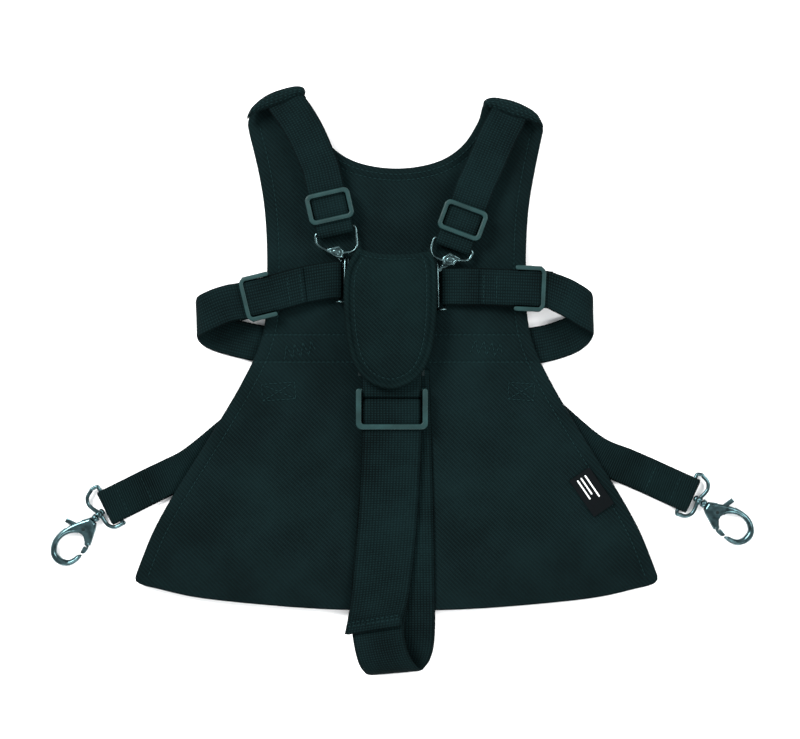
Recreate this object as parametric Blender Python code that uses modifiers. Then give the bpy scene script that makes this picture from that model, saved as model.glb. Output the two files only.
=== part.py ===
"""A child's vest harness laid flat on its back, front side up.

A padded A-line bib carries two shoulder straps, two waist belts and a crotch strap, which all meet
at a push-button buckle under a padded cover. Two tether straps with swivel snap hooks are sewn to
the back. +X is the wearer's left as the vest lies, +Y is towards the neck, +Z is up, and the origin
is the middle of the waist casing's back face. Sizes below are millimetres, turned to metres by MM.
"""

import math

import bmesh
import bpy
from mathutils import Matrix, Vector

MM = 0.001

# Webbing
WEB = 24.6
WEB_THICK = 1.4
CROTCH_WEB = 39.4
TETHER_WEB = 24.2
TETHER_LAYER = 1.2

# Levels of the layers that lie on each other, as (lowest, highest)
CASING = (0.0, 0.8)
FACING = (3.0, 3.6)
LINING = (3.9, 4.5)
PADDING = (4.8, 6.4)
SHELL = (6.7, 7.5)
REAR_RUN_Z = 8.5
TONGUE = (9.8, 11.4)
SHOULDER_FRONT_Z = 15.9
SHOULDER_RETURN_Z = 10.7
PAD_BACKING = (18.6, 19.2)
PAD_FOAM = (19.5, 22.5)
PAD_FACE = (22.8, 23.4)

# Vest panel: half outline of the neckline and of the side, from the top down
NECK_HALF = [(0, 117.5), (16.5, 119), (29.5, 122.8), (38.8, 128.5), (46.2, 136), (52.3, 146)]
SIDE_HALF = [(91.4, 115.4), (87.7, 93), (86, 69), (85.8, 50), (86.5, 22), (91, 1), (102.4, -23.4),
             (123.5, -59), (149.5, -100.5), (161.4, -122.5), (168, -138.5), (171.7, -151.5)]
HEM_HALF = [(170, -156), (159, -159.5), (135, -165.5), (88, -170), (41, -173), (0, -173.5)]
PADDING_INSET = 6.0
FACING_WIDTH = 8.0
CASING_HALF = (88.0, 10.0)

# Rolled tab ends: middle of the outer fold line and its slope in degrees, for each side
TAB_FOLD = {"left": ((-79.4, 164.6), 24.0), "right": ((77.3, 158.0), -20.6)}
TAB_NECK_CORNER = {"left": (-57.8, 158.5), "right": (54.9, 151.1)}
TAB_SIDE_CORNER = {"left": (-96.6, 141.4), "right": (95.7, 135.8)}
ROLL_WIDTH = 38.0
ROLL_THICK = 3.6
ROLL_SHIFT = 2.0
ROLL_INNER_RADIUS = 4.7
ROLL_LOWER_LEG = 14.0
ROLL_UPPER_LEG = 20.0

# Shoulder straps: point of the fold round the ring, slope of the strap, and the run up to the tab
SHOULDER_END = {"left": (-39.7, 73.3), "right": (36.4, 64.1)}
SHOULDER_LEAN = {"left": 12.7, "right": -20.4}
SHOULDER_RUN = {
    "left": [(-53.2, 126.1, 20), (-59.6, 140.4, 27), (-66.1, 151.5, 30), (-71.5, 159.0, 30)],
    "right": [(58.2, 119.6, -22), (66.5, 138.4, -24), (70.0, 146.0, -24), (71.8, 149.8, -24)],
}
SHOULDER_SLIDER_AT = {"left": 19.4, "right": 20.3}
STRAIGHT_RUN = 44.0

# Three-bar sliders, and the levels of their bars and of the webbing folded round them
SLIDER_SIZE = (30.0, 20.5)
SLIDER_BAR = 2.4
RAIL_PROUD = 0.3
BAR_INSET = 0.4
SHOULDER_BARS = {"low": (12.0, 14.6), "high": (16.9, 19.2)}
SLIDER_LOW = (11.2, 13.4)
SLIDER_HIGH = (15.4, 17.6)
FOLD_LOW_Z = 10.2
FOLD_HIGH_Z = 14.4
FOLD_RADIUS = (FOLD_HIGH_Z - FOLD_LOW_Z) / 2
FOLD_MIDDLE_Z = (FOLD_HIGH_Z + FOLD_LOW_Z) / 2

# Wire rings at the shoulder straps: half of the top bar, the bends at its ends as (across, along) in
# the strap's directions, and the lower run from the bar's right end to its left end
RING_WIRE = 1.0
RING_BAR_HALF = 12.6
RING_BAR_ALONG = 3.6
RING_BEND = [(13.7, 2.6), (13.8, 0.6)]
RING_LOWER = {
    "left": [(-26.4, 73.0), (-26.0, 69.5), (-26.0, 66.6), (-27.2, 64.3), (-29.6, 62.6), (-33.7, 62.2),
             (-38.2, 60.9), (-42.5, 61.9), (-46.5, 63.9), (-50.4, 66.0), (-52.7, 68.3)],
    "right": [(48.0, 57.9), (45.3, 57.0), (42.0, 57.2), (39.2, 57.1), (34.6, 55.9), (30.8, 56.9),
              (27.0, 58.3), (24.4, 59.7), (22.9, 62.4), (22.9, 66.0)],
}

# Buckle, its two tongues and the release button
CENTRE_X = -3.4
BUCKLE_HALF = 22.0
BUCKLE_Y = (-12.0, 34.0)
TONGUE_BAR = (28.9, 32.4)
TONGUE_Y = {"left": (30.4, 56.8), "right": (26.0, 52.6)}
TONGUE_NIB = {"left": (-38.2, 64.6), "right": (34.6, 59.6)}
BLADE = (6.0, 15.0)
LATCH_Y = (23.9, 26.9)
BUTTON_Y = 8.0
BUTTON_RADIUS = 8.0

# Waist belts: stations (x, y, z, direction of the width in degrees), from the back to the slider
WAIST_SLIDER = {"left": ((-91.1, 32.7), 13.6), "right": ((87.8, 38.3), 177.5)}
WAIST_RUN = {
    "left": [(-62, -2.2, 1.8, 84), (-75, -0.4, 1.8, 83), (-88.8, 1.9, 1.8, 81), (-105, 5.4, 1.5, 77),
             (-117, 8.8, 1.2, 76), (-125.5, 12.4, 2.0, 80), (-130.6, 16.2, 5.2, 87),
             (-131.6, 18.2, 9.2, 92), (-129.4, 20.4, 13.4, 100), (-124.0, 23.2, 16.0, 110),
             (-115.5, 26.9, 16.6, 113), (-107.5, 29.2, 15.6, 107)],
    "right": [(60, -1.4, 1.8, 94), (75, -0.8, 1.8, 94), (93, 1.2, 1.8, 97), (104, 3.6, 1.5, 101),
              (116, 8.0, 1.2, 106), (124, 13.2, 2.0, 102), (128.7, 18.2, 5.2, 95),
              (129.4, 20.6, 9.2, 91), (127.3, 23.4, 13.4, 82), (122.0, 27.2, 16.0, 71),
              (112.5, 33.0, 16.6, 72), (104.0, 36.3, 15.6, 82)],
}
WAIST_TAIL = 27.0
CONNECTOR_MIDDLE = {"left": (-60.4, 40.9), "right": (54.8, 39.6)}
CONNECTOR_END = {"left": (-37.0, 44.2), "right": (31.0, 39.8)}

# Crotch strap and its slider
STRAP_X = -3.0
CROTCH_SLIDER_Y = -40.9
CROTCH_SLIDER_SIZE = (47.4, 27.0)
CROTCH_BAR = 3.2
REAR_RUN = [(2.0, -15, REAR_RUN_Z, 0), (4.5, -90, REAR_RUN_Z, 1), (5.6, -166, REAR_RUN_Z, 1),
            (5.2, -182, 7.6, 1), (4.4, -196, 5.8, 1), (3.0, -206, 4.4, 2)]
CROTCH_BEND = [(1.0, -212.4, 5.4, 5), (-0.4, -215.0, 9.0, 7), (-1.6, -213.6, 13.0, 8),
               (-3.6, -207.5, 16.0, 9), (-7.4, -197, 16.4, 8)]
FRONT_RUN = [(-11.2, -184, 13.6, 6), (-10.8, -168, 10.6, 5), (-9.6, -150, FOLD_LOW_Z, 4),
             (-5.8, -109, FOLD_LOW_Z, 2), (-3.2, -72, FOLD_LOW_Z, 0), (STRAP_X, -54, FOLD_LOW_Z, 0)]
TAIL_RUN = [(STRAP_X, -56, FOLD_HIGH_Z, 0), (-3.4, -70, 13.2, 0), (-5.4, -109, 12.2, 2),
            (-8.7, -147, 12.2, 5), (-11.4, -168, 12.8, 7), (-15.2, -185.2, 15.8, 9)]

# Cover pad
PAD_X = -4.0
PAD_HALF = [(24, 65), (27, 58.7), (29.4, 49.5), (30.5, 39.3), (30.5, 26.7), (29.7, 14.1), (28, 1.5),
            (24.4, -10.6), (18.5, -19.8), (10.9, -25.1), (0, -28)]
PAD_TOP_DIP = 60.5
PAD_BINDING = 3.8

# Tether straps and snap hooks: collar of the hook, its direction, the strap's end and direction
HOOK_AT = {"left": (-200.3, -113.9), "right": (204.3, -104.2)}
HOOK_ANGLE = {"left": 224.0, "right": -33.0}
TETHER_END = {"left": (-193.3, -106.8), "right": (197.1, -97.3)}
TETHER_ANGLE = {"left": 206.6, "right": -24.5}
TETHER_FREE = 36.0
TETHER_SEWN = {
    "left": [(-72, -26.5, 39.4), (-105, -53.6, 39.4), (-136, -78.6, 36), (-148, -84.9, 29)],
    "right": [(78, -25.2, -41.0), (104, -47.8, -41.0), (131.7, -70.5, -35), (150.8, -78.6, -26)],
}
BAR_BACK = 5.0
AXIS_Z = 2.9
TETHER_WIRE = 1.3

# Snap hook in its own axes: x along the hook from the swivel collar, y towards the thumb lever
HOOK_THICK = 5.4
HOOK_OUTER = [(1.2, 2.6), (7.1, 5.6), (13.3, 8.2), (18.4, 9.5), (24.3, 9.9), (29.9, 9.0), (34.7, 6.3),
              (37.9, 2.5), (38.9, -1.8), (38.0, -5.8), (35.8, -9.0), (33.1, -11.1), (29.3, -12.2),
              (25.8, -12.3), (22.8, -11.7)]
HOOK_INNER = [(23.2, -10.3), (25.3, -9.1), (28.6, -8.6), (31.3, -7.6), (33.0, -5.5), (33.8, -3.4),
              (33.8, 0.9), (31.7, 3.4), (29.1, 5.0), (25.1, 5.9), (21.3, 5.4), (18.1, 3.9),
              (15.7, 1.9), (14.2, -0.9), (14.2, -3.6), (15.6, -6.2), (16.2, -7.2)]
HOOK_HEEL = [(12.8, -9.6), (8.5, -7.6), (4.2, -5.2), (1.2, -3.0)]
GATE_PIVOT = (10.0, 0.0)
GATE_FINGER = (-41.0, 15.2)
GATE_LEVER = (69.5, 13.4)
GATE_THICK = 2.4
POCKET_THICK = 3.0
PIN_RADIUS = 1.0

COLOURS = {
    "bib_twill": ((0.0075, 0.0170, 0.0180), 0.92, 0.0),
    "webbing": ((0.0090, 0.0200, 0.0210), 0.85, 0.0),
    "pad_fabric": ((0.0070, 0.0165, 0.0170), 0.92, 0.0),
    "foam": ((0.0300, 0.0320, 0.0330), 0.95, 0.0),
    "black_plastic": ((0.0300, 0.0600, 0.0620), 0.38, 0.0),
    "steel": ((0.2200, 0.2600, 0.2700), 0.24, 1.0),
    "chrome": ((0.3000, 0.3400, 0.3500), 0.14, 1.0),
    "label_tape": ((0.0060, 0.0080, 0.0090), 0.60, 0.0),
}


def empty_the_scene():
    for found in list(bpy.data.objects):
        bpy.data.objects.remove(found)


def new_collection(name):
    made = bpy.data.collections.new(name)
    bpy.context.scene.collection.children.link(made)
    return made


def make_material(name):
    colour, roughness, metallic = COLOURS[name]
    made = bpy.data.materials.new(name)
    made.use_nodes = True
    shader = made.node_tree.nodes["Principled BSDF"]
    shader.inputs["Base Color"].default_value = (*colour, 1.0)
    shader.inputs["Roughness"].default_value = roughness
    shader.inputs["Metallic"].default_value = metallic
    return made


def unit(degrees):
    return Vector((math.cos(math.radians(degrees)), math.sin(math.radians(degrees))))


def add_object(name, data, slot, collection=None):
    made = bpy.data.objects.new(name, data)
    (collection or HARNESS).objects.link(made)
    data.materials.append(MATERIALS[slot])
    return made


# ---- Lines ----------------------------------------------------------------------------------

def pace(a, b):
    """Knot spacing between two stations: it keeps the line from overshooting where they crowd."""
    return max((Vector(b[:3]) - Vector(a[:3])).length, 1e-6) ** 0.5


def smooth_line(points, per_span, cyclic=False):
    """Points along a centripetal Catmull-Rom line through the given points, of any dimension."""
    given = [Vector(p) for p in points]
    count = len(given)
    spans = count if cyclic else count - 1
    line = []
    for i in range(spans):
        if cyclic:
            a, b, c, d = (given[(i + k) % count] for k in (-1, 0, 1, 2))
        else:
            b, c = given[i], given[i + 1]
            a = given[i - 1] if i > 0 else b + (b - c)
            d = given[i + 2] if i + 2 < count else c + (c - b)
        before, span, after = pace(a, b), pace(b, c), pace(c, d)
        leaving = span * ((b - a) / before - (c - a) / (before + span)) + (c - b)
        arriving = span * ((d - c) / after - (d - b) / (span + after)) + (c - b)
        for step in range(per_span):
            t = step / per_span
            line.append(b + leaving * t + (3 * (c - b) - 2 * leaving - arriving) * t ** 2
                        + (2 * (b - c) + leaving + arriving) * t ** 3)
    if not cyclic:
        line.append(given[-1])
    return line


def offset_line(points, distance):
    """The open line moved sideways, to its left when distance is positive."""
    given = [Vector(p[:2]) for p in points]
    moved = []
    for i, point in enumerate(given):
        along = (given[min(i + 1, len(given) - 1)] - given[max(i - 1, 0)]).normalized()
        moved.append(point + distance * Vector((-along.y, along.x)))
    return moved


def arc(centre, radius, start, end, steps):
    return [Vector(centre) + radius * unit(start + (end - start) * i / steps) for i in range(steps + 1)]


# ---- Solids ---------------------------------------------------------------------------------

def flat_plate(name, outlines, levels, slot, collection=None):
    """A flat solid from a closed outline, and the outlines of its holes, between two levels."""
    curve = bpy.data.curves.new(name, "CURVE")
    curve.dimensions = "2D"
    curve.fill_mode = "BOTH"
    curve.extrude = (levels[1] - levels[0]) / 2 * MM
    for outline in outlines:
        spline = curve.splines.new("POLY")
        spline.points.add(len(outline) - 1)
        for point, place in zip(spline.points, outline):
            point.co = (place[0] * MM, place[1] * MM, 0, 1)
        spline.use_cyclic_u = True
    made = add_object(name, curve, slot, collection)
    made.location.z = (levels[0] + levels[1]) / 2 * MM
    return made


def mesh_from(made):
    """The same object as a welded mesh, which Boolean modifiers can use."""
    bpy.context.view_layer.update()
    graph = bpy.context.evaluated_depsgraph_get()
    mesh = bpy.data.meshes.new_from_object(made.evaluated_get(graph))
    name, collection = made.name, made.users_collection[0]
    matrix = made.matrix_world.copy()
    bpy.data.objects.remove(made)
    form = bmesh_of(mesh)
    bmesh.ops.remove_doubles(form, verts=form.verts, dist=0.000002)
    bmesh.ops.recalc_face_normals(form, faces=form.faces)
    form.to_mesh(mesh)
    form.free()
    fresh = bpy.data.objects.new(name, mesh)
    collection.objects.link(fresh)
    fresh.matrix_world = matrix
    return fresh


def bmesh_of(mesh):
    form = bmesh.new()
    form.from_mesh(mesh)
    return form


def ribbon(name, stations, width, thickness, slot, per_span=3, cyclic=False):
    """Flat webbing along stations (x, y, z, direction of the width in degrees)."""
    rows = smooth_line(stations, per_span, cyclic)
    half = width / 2
    places = []
    for x, y, z, degrees in rows:
        side = half * unit(degrees)
        places.append(Vector((x - side.x, y - side.y, z)) * MM)
        places.append(Vector((x + side.x, y + side.y, z)) * MM)
    count = len(rows)
    faces = [(2 * i, 2 * i + 1, 2 * i + 3, 2 * i + 2) for i in range(count - 1)]
    if cyclic:
        faces.append((2 * count - 2, 2 * count - 1, 1, 0))
    mesh = bpy.data.meshes.new(name)
    mesh.from_pydata(places, [], faces)
    made = add_object(name, mesh, slot)
    shell = made.modifiers.new("thickness", "SOLIDIFY")
    shell.thickness = thickness * MM
    shell.offset = 0
    return made


def wire(name, points, radius, slot, per_span=4, cyclic=True):
    """Round wire along a smooth line through the points."""
    line = smooth_line(points, per_span, cyclic)
    curve = bpy.data.curves.new(name, "CURVE")
    curve.dimensions = "3D"
    curve.bevel_depth = radius * MM
    curve.bevel_resolution = 2
    curve.use_fill_caps = not cyclic
    spline = curve.splines.new("POLY")
    spline.points.add(len(line) - 1)
    for point, place in zip(spline.points, line):
        point.co = (*(place * MM), 1)
    spline.use_cyclic_u = cyclic
    return add_object(name, curve, slot)


def box(name, low, high, slot, collection=None, bevel=0.0):
    bpy.ops.mesh.primitive_cube_add(size=1)
    made = bpy.context.object
    made.name = name
    size = (Vector(high) - Vector(low)) * MM
    made.data.transform(Matrix.Diagonal((*size, 1)))
    made.location = (Vector(high) + Vector(low)) / 2 * MM
    made.data.materials.append(MATERIALS[slot])
    move_to(made, collection or HARNESS)
    if bevel:
        rounded = made.modifiers.new("edges", "BEVEL")
        rounded.width = bevel * MM
        rounded.segments = 1
    return made


def rod(name, centre, radius, low, high, slot, collection=None, sides=24):
    """An upright cylinder between two levels."""
    bpy.ops.mesh.primitive_cylinder_add(vertices=sides, radius=radius * MM, depth=(high - low) * MM)
    made = bpy.context.object
    made.name = name
    made.location = (centre[0] * MM, centre[1] * MM, (low + high) / 2 * MM)
    made.data.materials.append(MATERIALS[slot])
    move_to(made, collection or HARNESS)
    return made


def turned(name, profile, slot, steps=24):
    """A turned shape about X from a closed profile of (x, radius)."""
    mesh = bpy.data.meshes.new(name)
    places = [Vector((x, radius, 0)) * MM for x, radius in profile]
    edges = [(i, i + 1) for i in range(len(profile) - 1)]
    mesh.from_pydata(places, edges, [])
    made = add_object(name, mesh, slot)
    screw = made.modifiers.new("turn", "SCREW")
    screw.axis = "X"
    screw.steps = steps
    screw.render_steps = steps
    screw.use_merge_vertices = True
    screw.merge_threshold = 0.000002
    return made


def move_to(made, collection):
    for found in list(made.users_collection):
        found.objects.unlink(made)
    collection.objects.link(made)


def combine(made, other, operation):
    """A Boolean with another shape, which is kept as a hidden guide."""
    step = made.modifiers.new(operation.lower(), "BOOLEAN")
    step.operation = operation
    step.solver = "EXACT"
    step.object = other
    other.hide_render = True
    other.display_type = "WIRE"
    return made


def join(made, *others):
    for other in others:
        combine(made, other, "UNION")
    return made


def cut(made, *others):
    for other in others:
        combine(made, other, "DIFFERENCE")
    return made


def axes_at(x, y, z, degrees):
    """An empty that places a sub-assembly by its location and rotation."""
    made = bpy.data.objects.new("axes", None)
    HARNESS.objects.link(made)
    made.location = Vector((x, y, z)) * MM
    made.rotation_euler.z = math.radians(degrees)
    return made


def attach(parent, *children):
    for child in children:
        child.parent = parent


# ---- Vest panel -----------------------------------------------------------------------------

def mirrored(points, side):
    sign = 1 if side == "right" else -1
    return [(sign * x, y) for x, y in points]


def side_edge(side):
    return [TAB_SIDE_CORNER[side], *mirrored(SIDE_HALF, side)]


def neck_edge():
    left = [TAB_NECK_CORNER["left"], *reversed(mirrored(NECK_HALF, "left"))]
    right = [*NECK_HALF[1:], TAB_NECK_CORNER["right"]]
    return [*left, *right]


def panel_outline(inset=0.0):
    """The bib from the left neck corner round by the right tab, the hem and the left tab."""
    neck = smooth_line(neck_edge(), 2)
    right = smooth_line(side_edge("right"), 2)
    hem = [*HEM_HALF, *reversed(mirrored(HEM_HALF[:-1], "left"))]
    left = list(reversed(smooth_line(side_edge("left"), 2)))
    if inset:
        neck, right, hem, left = (offset_line(line, -inset) for line in (neck, right, hem[1:-1], left))
    return [*neck, *right, *hem, *left]


def make_panel():
    outline = panel_outline()
    flat_plate("panel_front_shell", [outline], SHELL, "bib_twill")
    flat_plate("panel_padding", [panel_outline(PADDING_INSET)], PADDING, "foam")
    flat_plate("panel_back_lining", [outline], LINING, "bib_twill")
    neck = smooth_line(neck_edge(), 2)
    neck_inner = offset_line(neck, -FACING_WIDTH)
    flat_plate("neck_facing", [[*neck, *reversed(neck_inner)]], FACING, "bib_twill")
    for side, inward in (("left", 1), ("right", -1)):
        edge = smooth_line(side_edge(side)[:-1], 2)
        inner = offset_line(edge, inward * FACING_WIDTH)
        flat_plate(f"{side}_side_facing", [[*edge, *reversed(inner)]], FACING, "bib_twill")
    half_x, half_y = CASING_HALF
    box("waist_casing", (-half_x, -half_y, CASING[0]), (half_x, half_y, CASING[1]), "bib_twill")


def make_tab_roll(side):
    """The tab's end, rolled over forwards, with the strap sewn under it."""
    (x, y), slope = TAB_FOLD[side]
    centre_z = SHELL[1] + ROLL_INNER_RADIUS
    outer = ROLL_INNER_RADIUS + ROLL_THICK
    section = [(ROLL_LOWER_LEG, SHELL[1] - ROLL_THICK), (ROLL_LOWER_LEG, SHELL[1])]
    section += arc((outer, centre_z), ROLL_INNER_RADIUS, 270, 90, 8)
    section += [(ROLL_UPPER_LEG, centre_z + ROLL_INNER_RADIUS), (ROLL_UPPER_LEG, centre_z + outer)]
    section += arc((outer, centre_z), outer, 90, 270, 12)
    roll = flat_plate(f"{side}_shoulder_tab", [section], (-ROLL_WIDTH / 2, ROLL_WIDTH / 2), "bib_twill")
    stand = Matrix(((0, 0, 1, 0), (-1, 0, 0, 0), (0, 1, 0, 0), (0, 0, 0, 1)))
    away_from_neck = -unit(slope) if side == "left" else unit(slope)
    middle = Vector((x, y)) + ROLL_SHIFT * away_from_neck
    place = Matrix.Translation(Vector((middle.x, middle.y, 0)) * MM)
    roll.location.z = 0
    roll.matrix_world = place @ Matrix.Rotation(math.radians(slope), 4, "Z") @ stand


# ---- Shoulder straps ------------------------------------------------------------------------

def shoulder_point(side, distance):
    """A point of the strap's straight run, measured up from its fold."""
    up = unit(90 + SHOULDER_LEAN[side])
    return Vector(SHOULDER_END[side]) + distance * up


def make_shoulder_strap(side):
    lean = SHOULDER_LEAN[side]
    middle_z = (SHOULDER_FRONT_Z + SHOULDER_RETURN_Z) / 2
    radius = (SHOULDER_FRONT_Z - SHOULDER_RETURN_Z) / 2
    bar = radius + WEB_THICK / 2
    stations = [(x, y, SHOULDER_FRONT_Z, degrees) for x, y, degrees in reversed(SHOULDER_RUN[side])]
    for distance in (STRAIGHT_RUN, STRAIGHT_RUN - 4, 24.0, 10.0):
        place = shoulder_point(side, distance)
        stations.append((place.x, place.y, SHOULDER_FRONT_Z, lean))
    for turn in (90, 45, 0, -45, -90):
        place = shoulder_point(side, bar - radius * math.cos(math.radians(turn)))
        stations.append((place.x, place.y, middle_z + radius * math.sin(math.radians(turn)), lean))
    for distance in (10.0, 24.0, STRAIGHT_RUN + 2):
        place = shoulder_point(side, distance)
        stations.append((place.x, place.y, SHOULDER_RETURN_Z, lean))
    ribbon(f"{side}_shoulder_strap", stations, WEB, WEB_THICK, "webbing")


def make_shoulder_ring(side):
    """Closed wire: a top bar inside the strap's fold and a shallow run below it, round the nib."""
    middle_z = (SHOULDER_FRONT_Z + SHOULDER_RETURN_Z) / 2
    across = unit(SHOULDER_LEAN[side])

    def at(reach, along):
        return shoulder_point(side, along) + reach * across

    half, along = RING_BAR_HALF, RING_BAR_ALONG
    places = [at(reach, along) for reach in (-half, -half / 2, 0.0, half / 2, half)]
    places += [at(reach, lower) for reach, lower in RING_BEND]
    places += [Vector(place) for place in RING_LOWER[side]]
    places += [at(-reach, lower) for reach, lower in reversed(RING_BEND)]
    points = [(*place, middle_z) for place in places]
    wire(f"{side}_shoulder_ring", points, RING_WIRE, "steel", per_span=3)


def slider(name, place, degrees, size, bar, levels):
    """A three-bar slide. levels holds the lowest and highest z of the bars at -x, 0 and +x."""
    axes = axes_at(*place, 0, degrees)
    across, along = size
    low = min(level[0] for level in levels) - RAIL_PROUD
    high = max(level[1] for level in levels) + RAIL_PROUD
    half, reach = across / 2, along / 2
    body = box(name, (-reach, -half, low), (reach, -half + bar, high), "black_plastic", bevel=0.6)
    rail = box(f"{name}.rail", (-reach, half - bar, low), (reach, half, high), "black_plastic", GUIDES,
               0.6)
    bars = [rail]
    end = reach - bar / 2 - BAR_INSET
    for x, level in zip((-end, 0, end), levels):
        tip = half - bar / 2
        bars.append(box(f"{name}.bar", (x - bar / 2, -tip, level[0]), (x + bar / 2, tip, level[1]),
                        "black_plastic", GUIDES))
    join(body, *bars)
    attach(axes, body, *bars)


def make_shoulder_slider(side):
    place = shoulder_point(side, SHOULDER_SLIDER_AT[side])
    low, high = SHOULDER_BARS["low"], SHOULDER_BARS["high"]
    slider(f"{side}_shoulder_slider", place, SHOULDER_LEAN[side] + 90, SLIDER_SIZE, SLIDER_BAR,
           (high, low, high))


# ---- Waist belts ----------------------------------------------------------------------------

def along_slider(side, distance):
    (x, y), degrees = WAIST_SLIDER[side]
    return Vector((x, y)) + distance * unit(degrees)


def make_waist_belt(side):
    """From its tack on the back, out to the loop, and round the slider's middle bar."""
    degrees = WAIST_SLIDER[side][1]
    width_angle = degrees + 90 if side == "left" else degrees - 90
    stations = list(WAIST_RUN[side])
    for distance in (-11.0, -4.0):
        place = along_slider(side, distance)
        stations.append((place.x, place.y, FOLD_HIGH_Z, width_angle))
    for turn in (90, 45, 0, -45, -90):
        place = along_slider(side, 0.4 + FOLD_RADIUS * math.cos(math.radians(turn)))
        rise = FOLD_RADIUS * math.sin(math.radians(turn))
        stations.append((place.x, place.y, FOLD_MIDDLE_Z + rise, width_angle))
    for distance in (-8.0, -WAIST_TAIL):
        place = along_slider(side, distance)
        stations.append((place.x, place.y, FOLD_LOW_Z, width_angle))
    ribbon(f"{side}_waist_belt", stations, WEB, WEB_THICK, "webbing")


def make_waist_slider(side):
    (x, y), degrees = WAIST_SLIDER[side]
    slider(f"{side}_waist_slider", (x, y), degrees, SLIDER_SIZE, SLIDER_BAR,
           (SLIDER_HIGH, SLIDER_LOW, SLIDER_LOW))


def make_waist_connector(side):
    """A closed loop of webbing from the slider's inner bar to the tongue's bar."""
    degrees = WAIST_SLIDER[side][1]
    sign = 1 if side == "left" else -1
    width_angle = degrees + sign * 90
    bar = along_slider(side, SLIDER_SIZE[1] / 2 - SLIDER_BAR / 2 - BAR_INSET)
    start = unit(degrees)
    middle = CONNECTOR_MIDDLE[side]
    end = CONNECTOR_END[side]
    tongue_low, tongue_high = TONGUE[0] - 1.0, TONGUE[1] + 1.0
    tongue_middle, tongue_radius = (tongue_low + tongue_high) / 2, (tongue_high - tongue_low) / 2
    tongue_x = CENTRE_X - sign * (sum(TONGUE_BAR) / 2 - 1.5)
    stations = []
    for turn in (-90, -45, 0, 45, 90):
        place = bar - (0.5 + FOLD_RADIUS * math.cos(math.radians(turn))) * start
        rise = FOLD_RADIUS * math.sin(math.radians(turn))
        stations.append((place.x, place.y, FOLD_MIDDLE_Z + rise, width_angle))
    stations.append((*middle, tongue_high + 0.8, (width_angle + 90) / 2))
    stations.append((end[0] - sign * 4, end[1], tongue_high + 0.1, 90))
    for turn in (90, 45, 0, -45, -90):
        x = tongue_x + sign * tongue_radius * math.cos(math.radians(turn))
        z = tongue_middle + tongue_radius * math.sin(math.radians(turn))
        stations.append((x, end[1], z, 90))
    stations.append((end[0] - sign * 4, end[1], tongue_low, 90))
    stations.append((*middle, tongue_low + 0.5, (width_angle + 90) / 2))
    ribbon(f"{side}_waist_connector", stations, WEB, WEB_THICK, "webbing", cyclic=True)


# ---- Buckle ---------------------------------------------------------------------------------

def make_tongue(side):
    """A steel plate with a slot for the webbing, a neck and nib for the ring, and a latched blade."""
    sign = -1 if side == "left" else 1
    foot, top = TONGUE_Y[side]
    inner, outer = TONGUE_BAR
    nib = Vector(TONGUE_NIB[side])
    nib_d = (nib.x - CENTRE_X) * sign
    outline = [(BLADE[0], 16), (BLADE[1], 16), (BLADE[1], 37), (22.8, 37), (22.8, foot - 1.5),
               (39.2, foot - 1.5), (39.2, foot + 1.0), (outer, foot + 1.0), (outer, top - 9),
               (34.4, top + 0.3), (nib_d + 2.9, nib.y - 1.5), (nib_d + 2.9, nib.y + 2.6),
               (nib_d - 2.9, nib.y + 2.6), (nib_d - 2.9, nib.y - 1.5), (29.5, top + 2.6),
               (22.8, top + 2.6), (22.8, 54), (BLADE[0], 54), (BLADE[0], LATCH_Y[1] + 0.4),
               (8.4, LATCH_Y[1] + 0.4), (8.4, LATCH_Y[0] - 0.4), (BLADE[0], LATCH_Y[0] - 0.4)]
    slot = [(25.0, foot + 1.0), (inner, foot + 1.0), (inner, top + 0.6), (25.0, top + 0.6)]
    placed = [[(CENTRE_X + sign * d, y) for d, y in line] for line in (outline, slot)]
    plate = mesh_from(flat_plate(f"{side}_tongue", placed, TONGUE, "steel"))
    post = rod(f"{side}_nib", nib, 2.5, TONGUE[0] + 0.5, 16.0, "steel", GUIDES, sides=8)
    join(plate, post)


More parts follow.
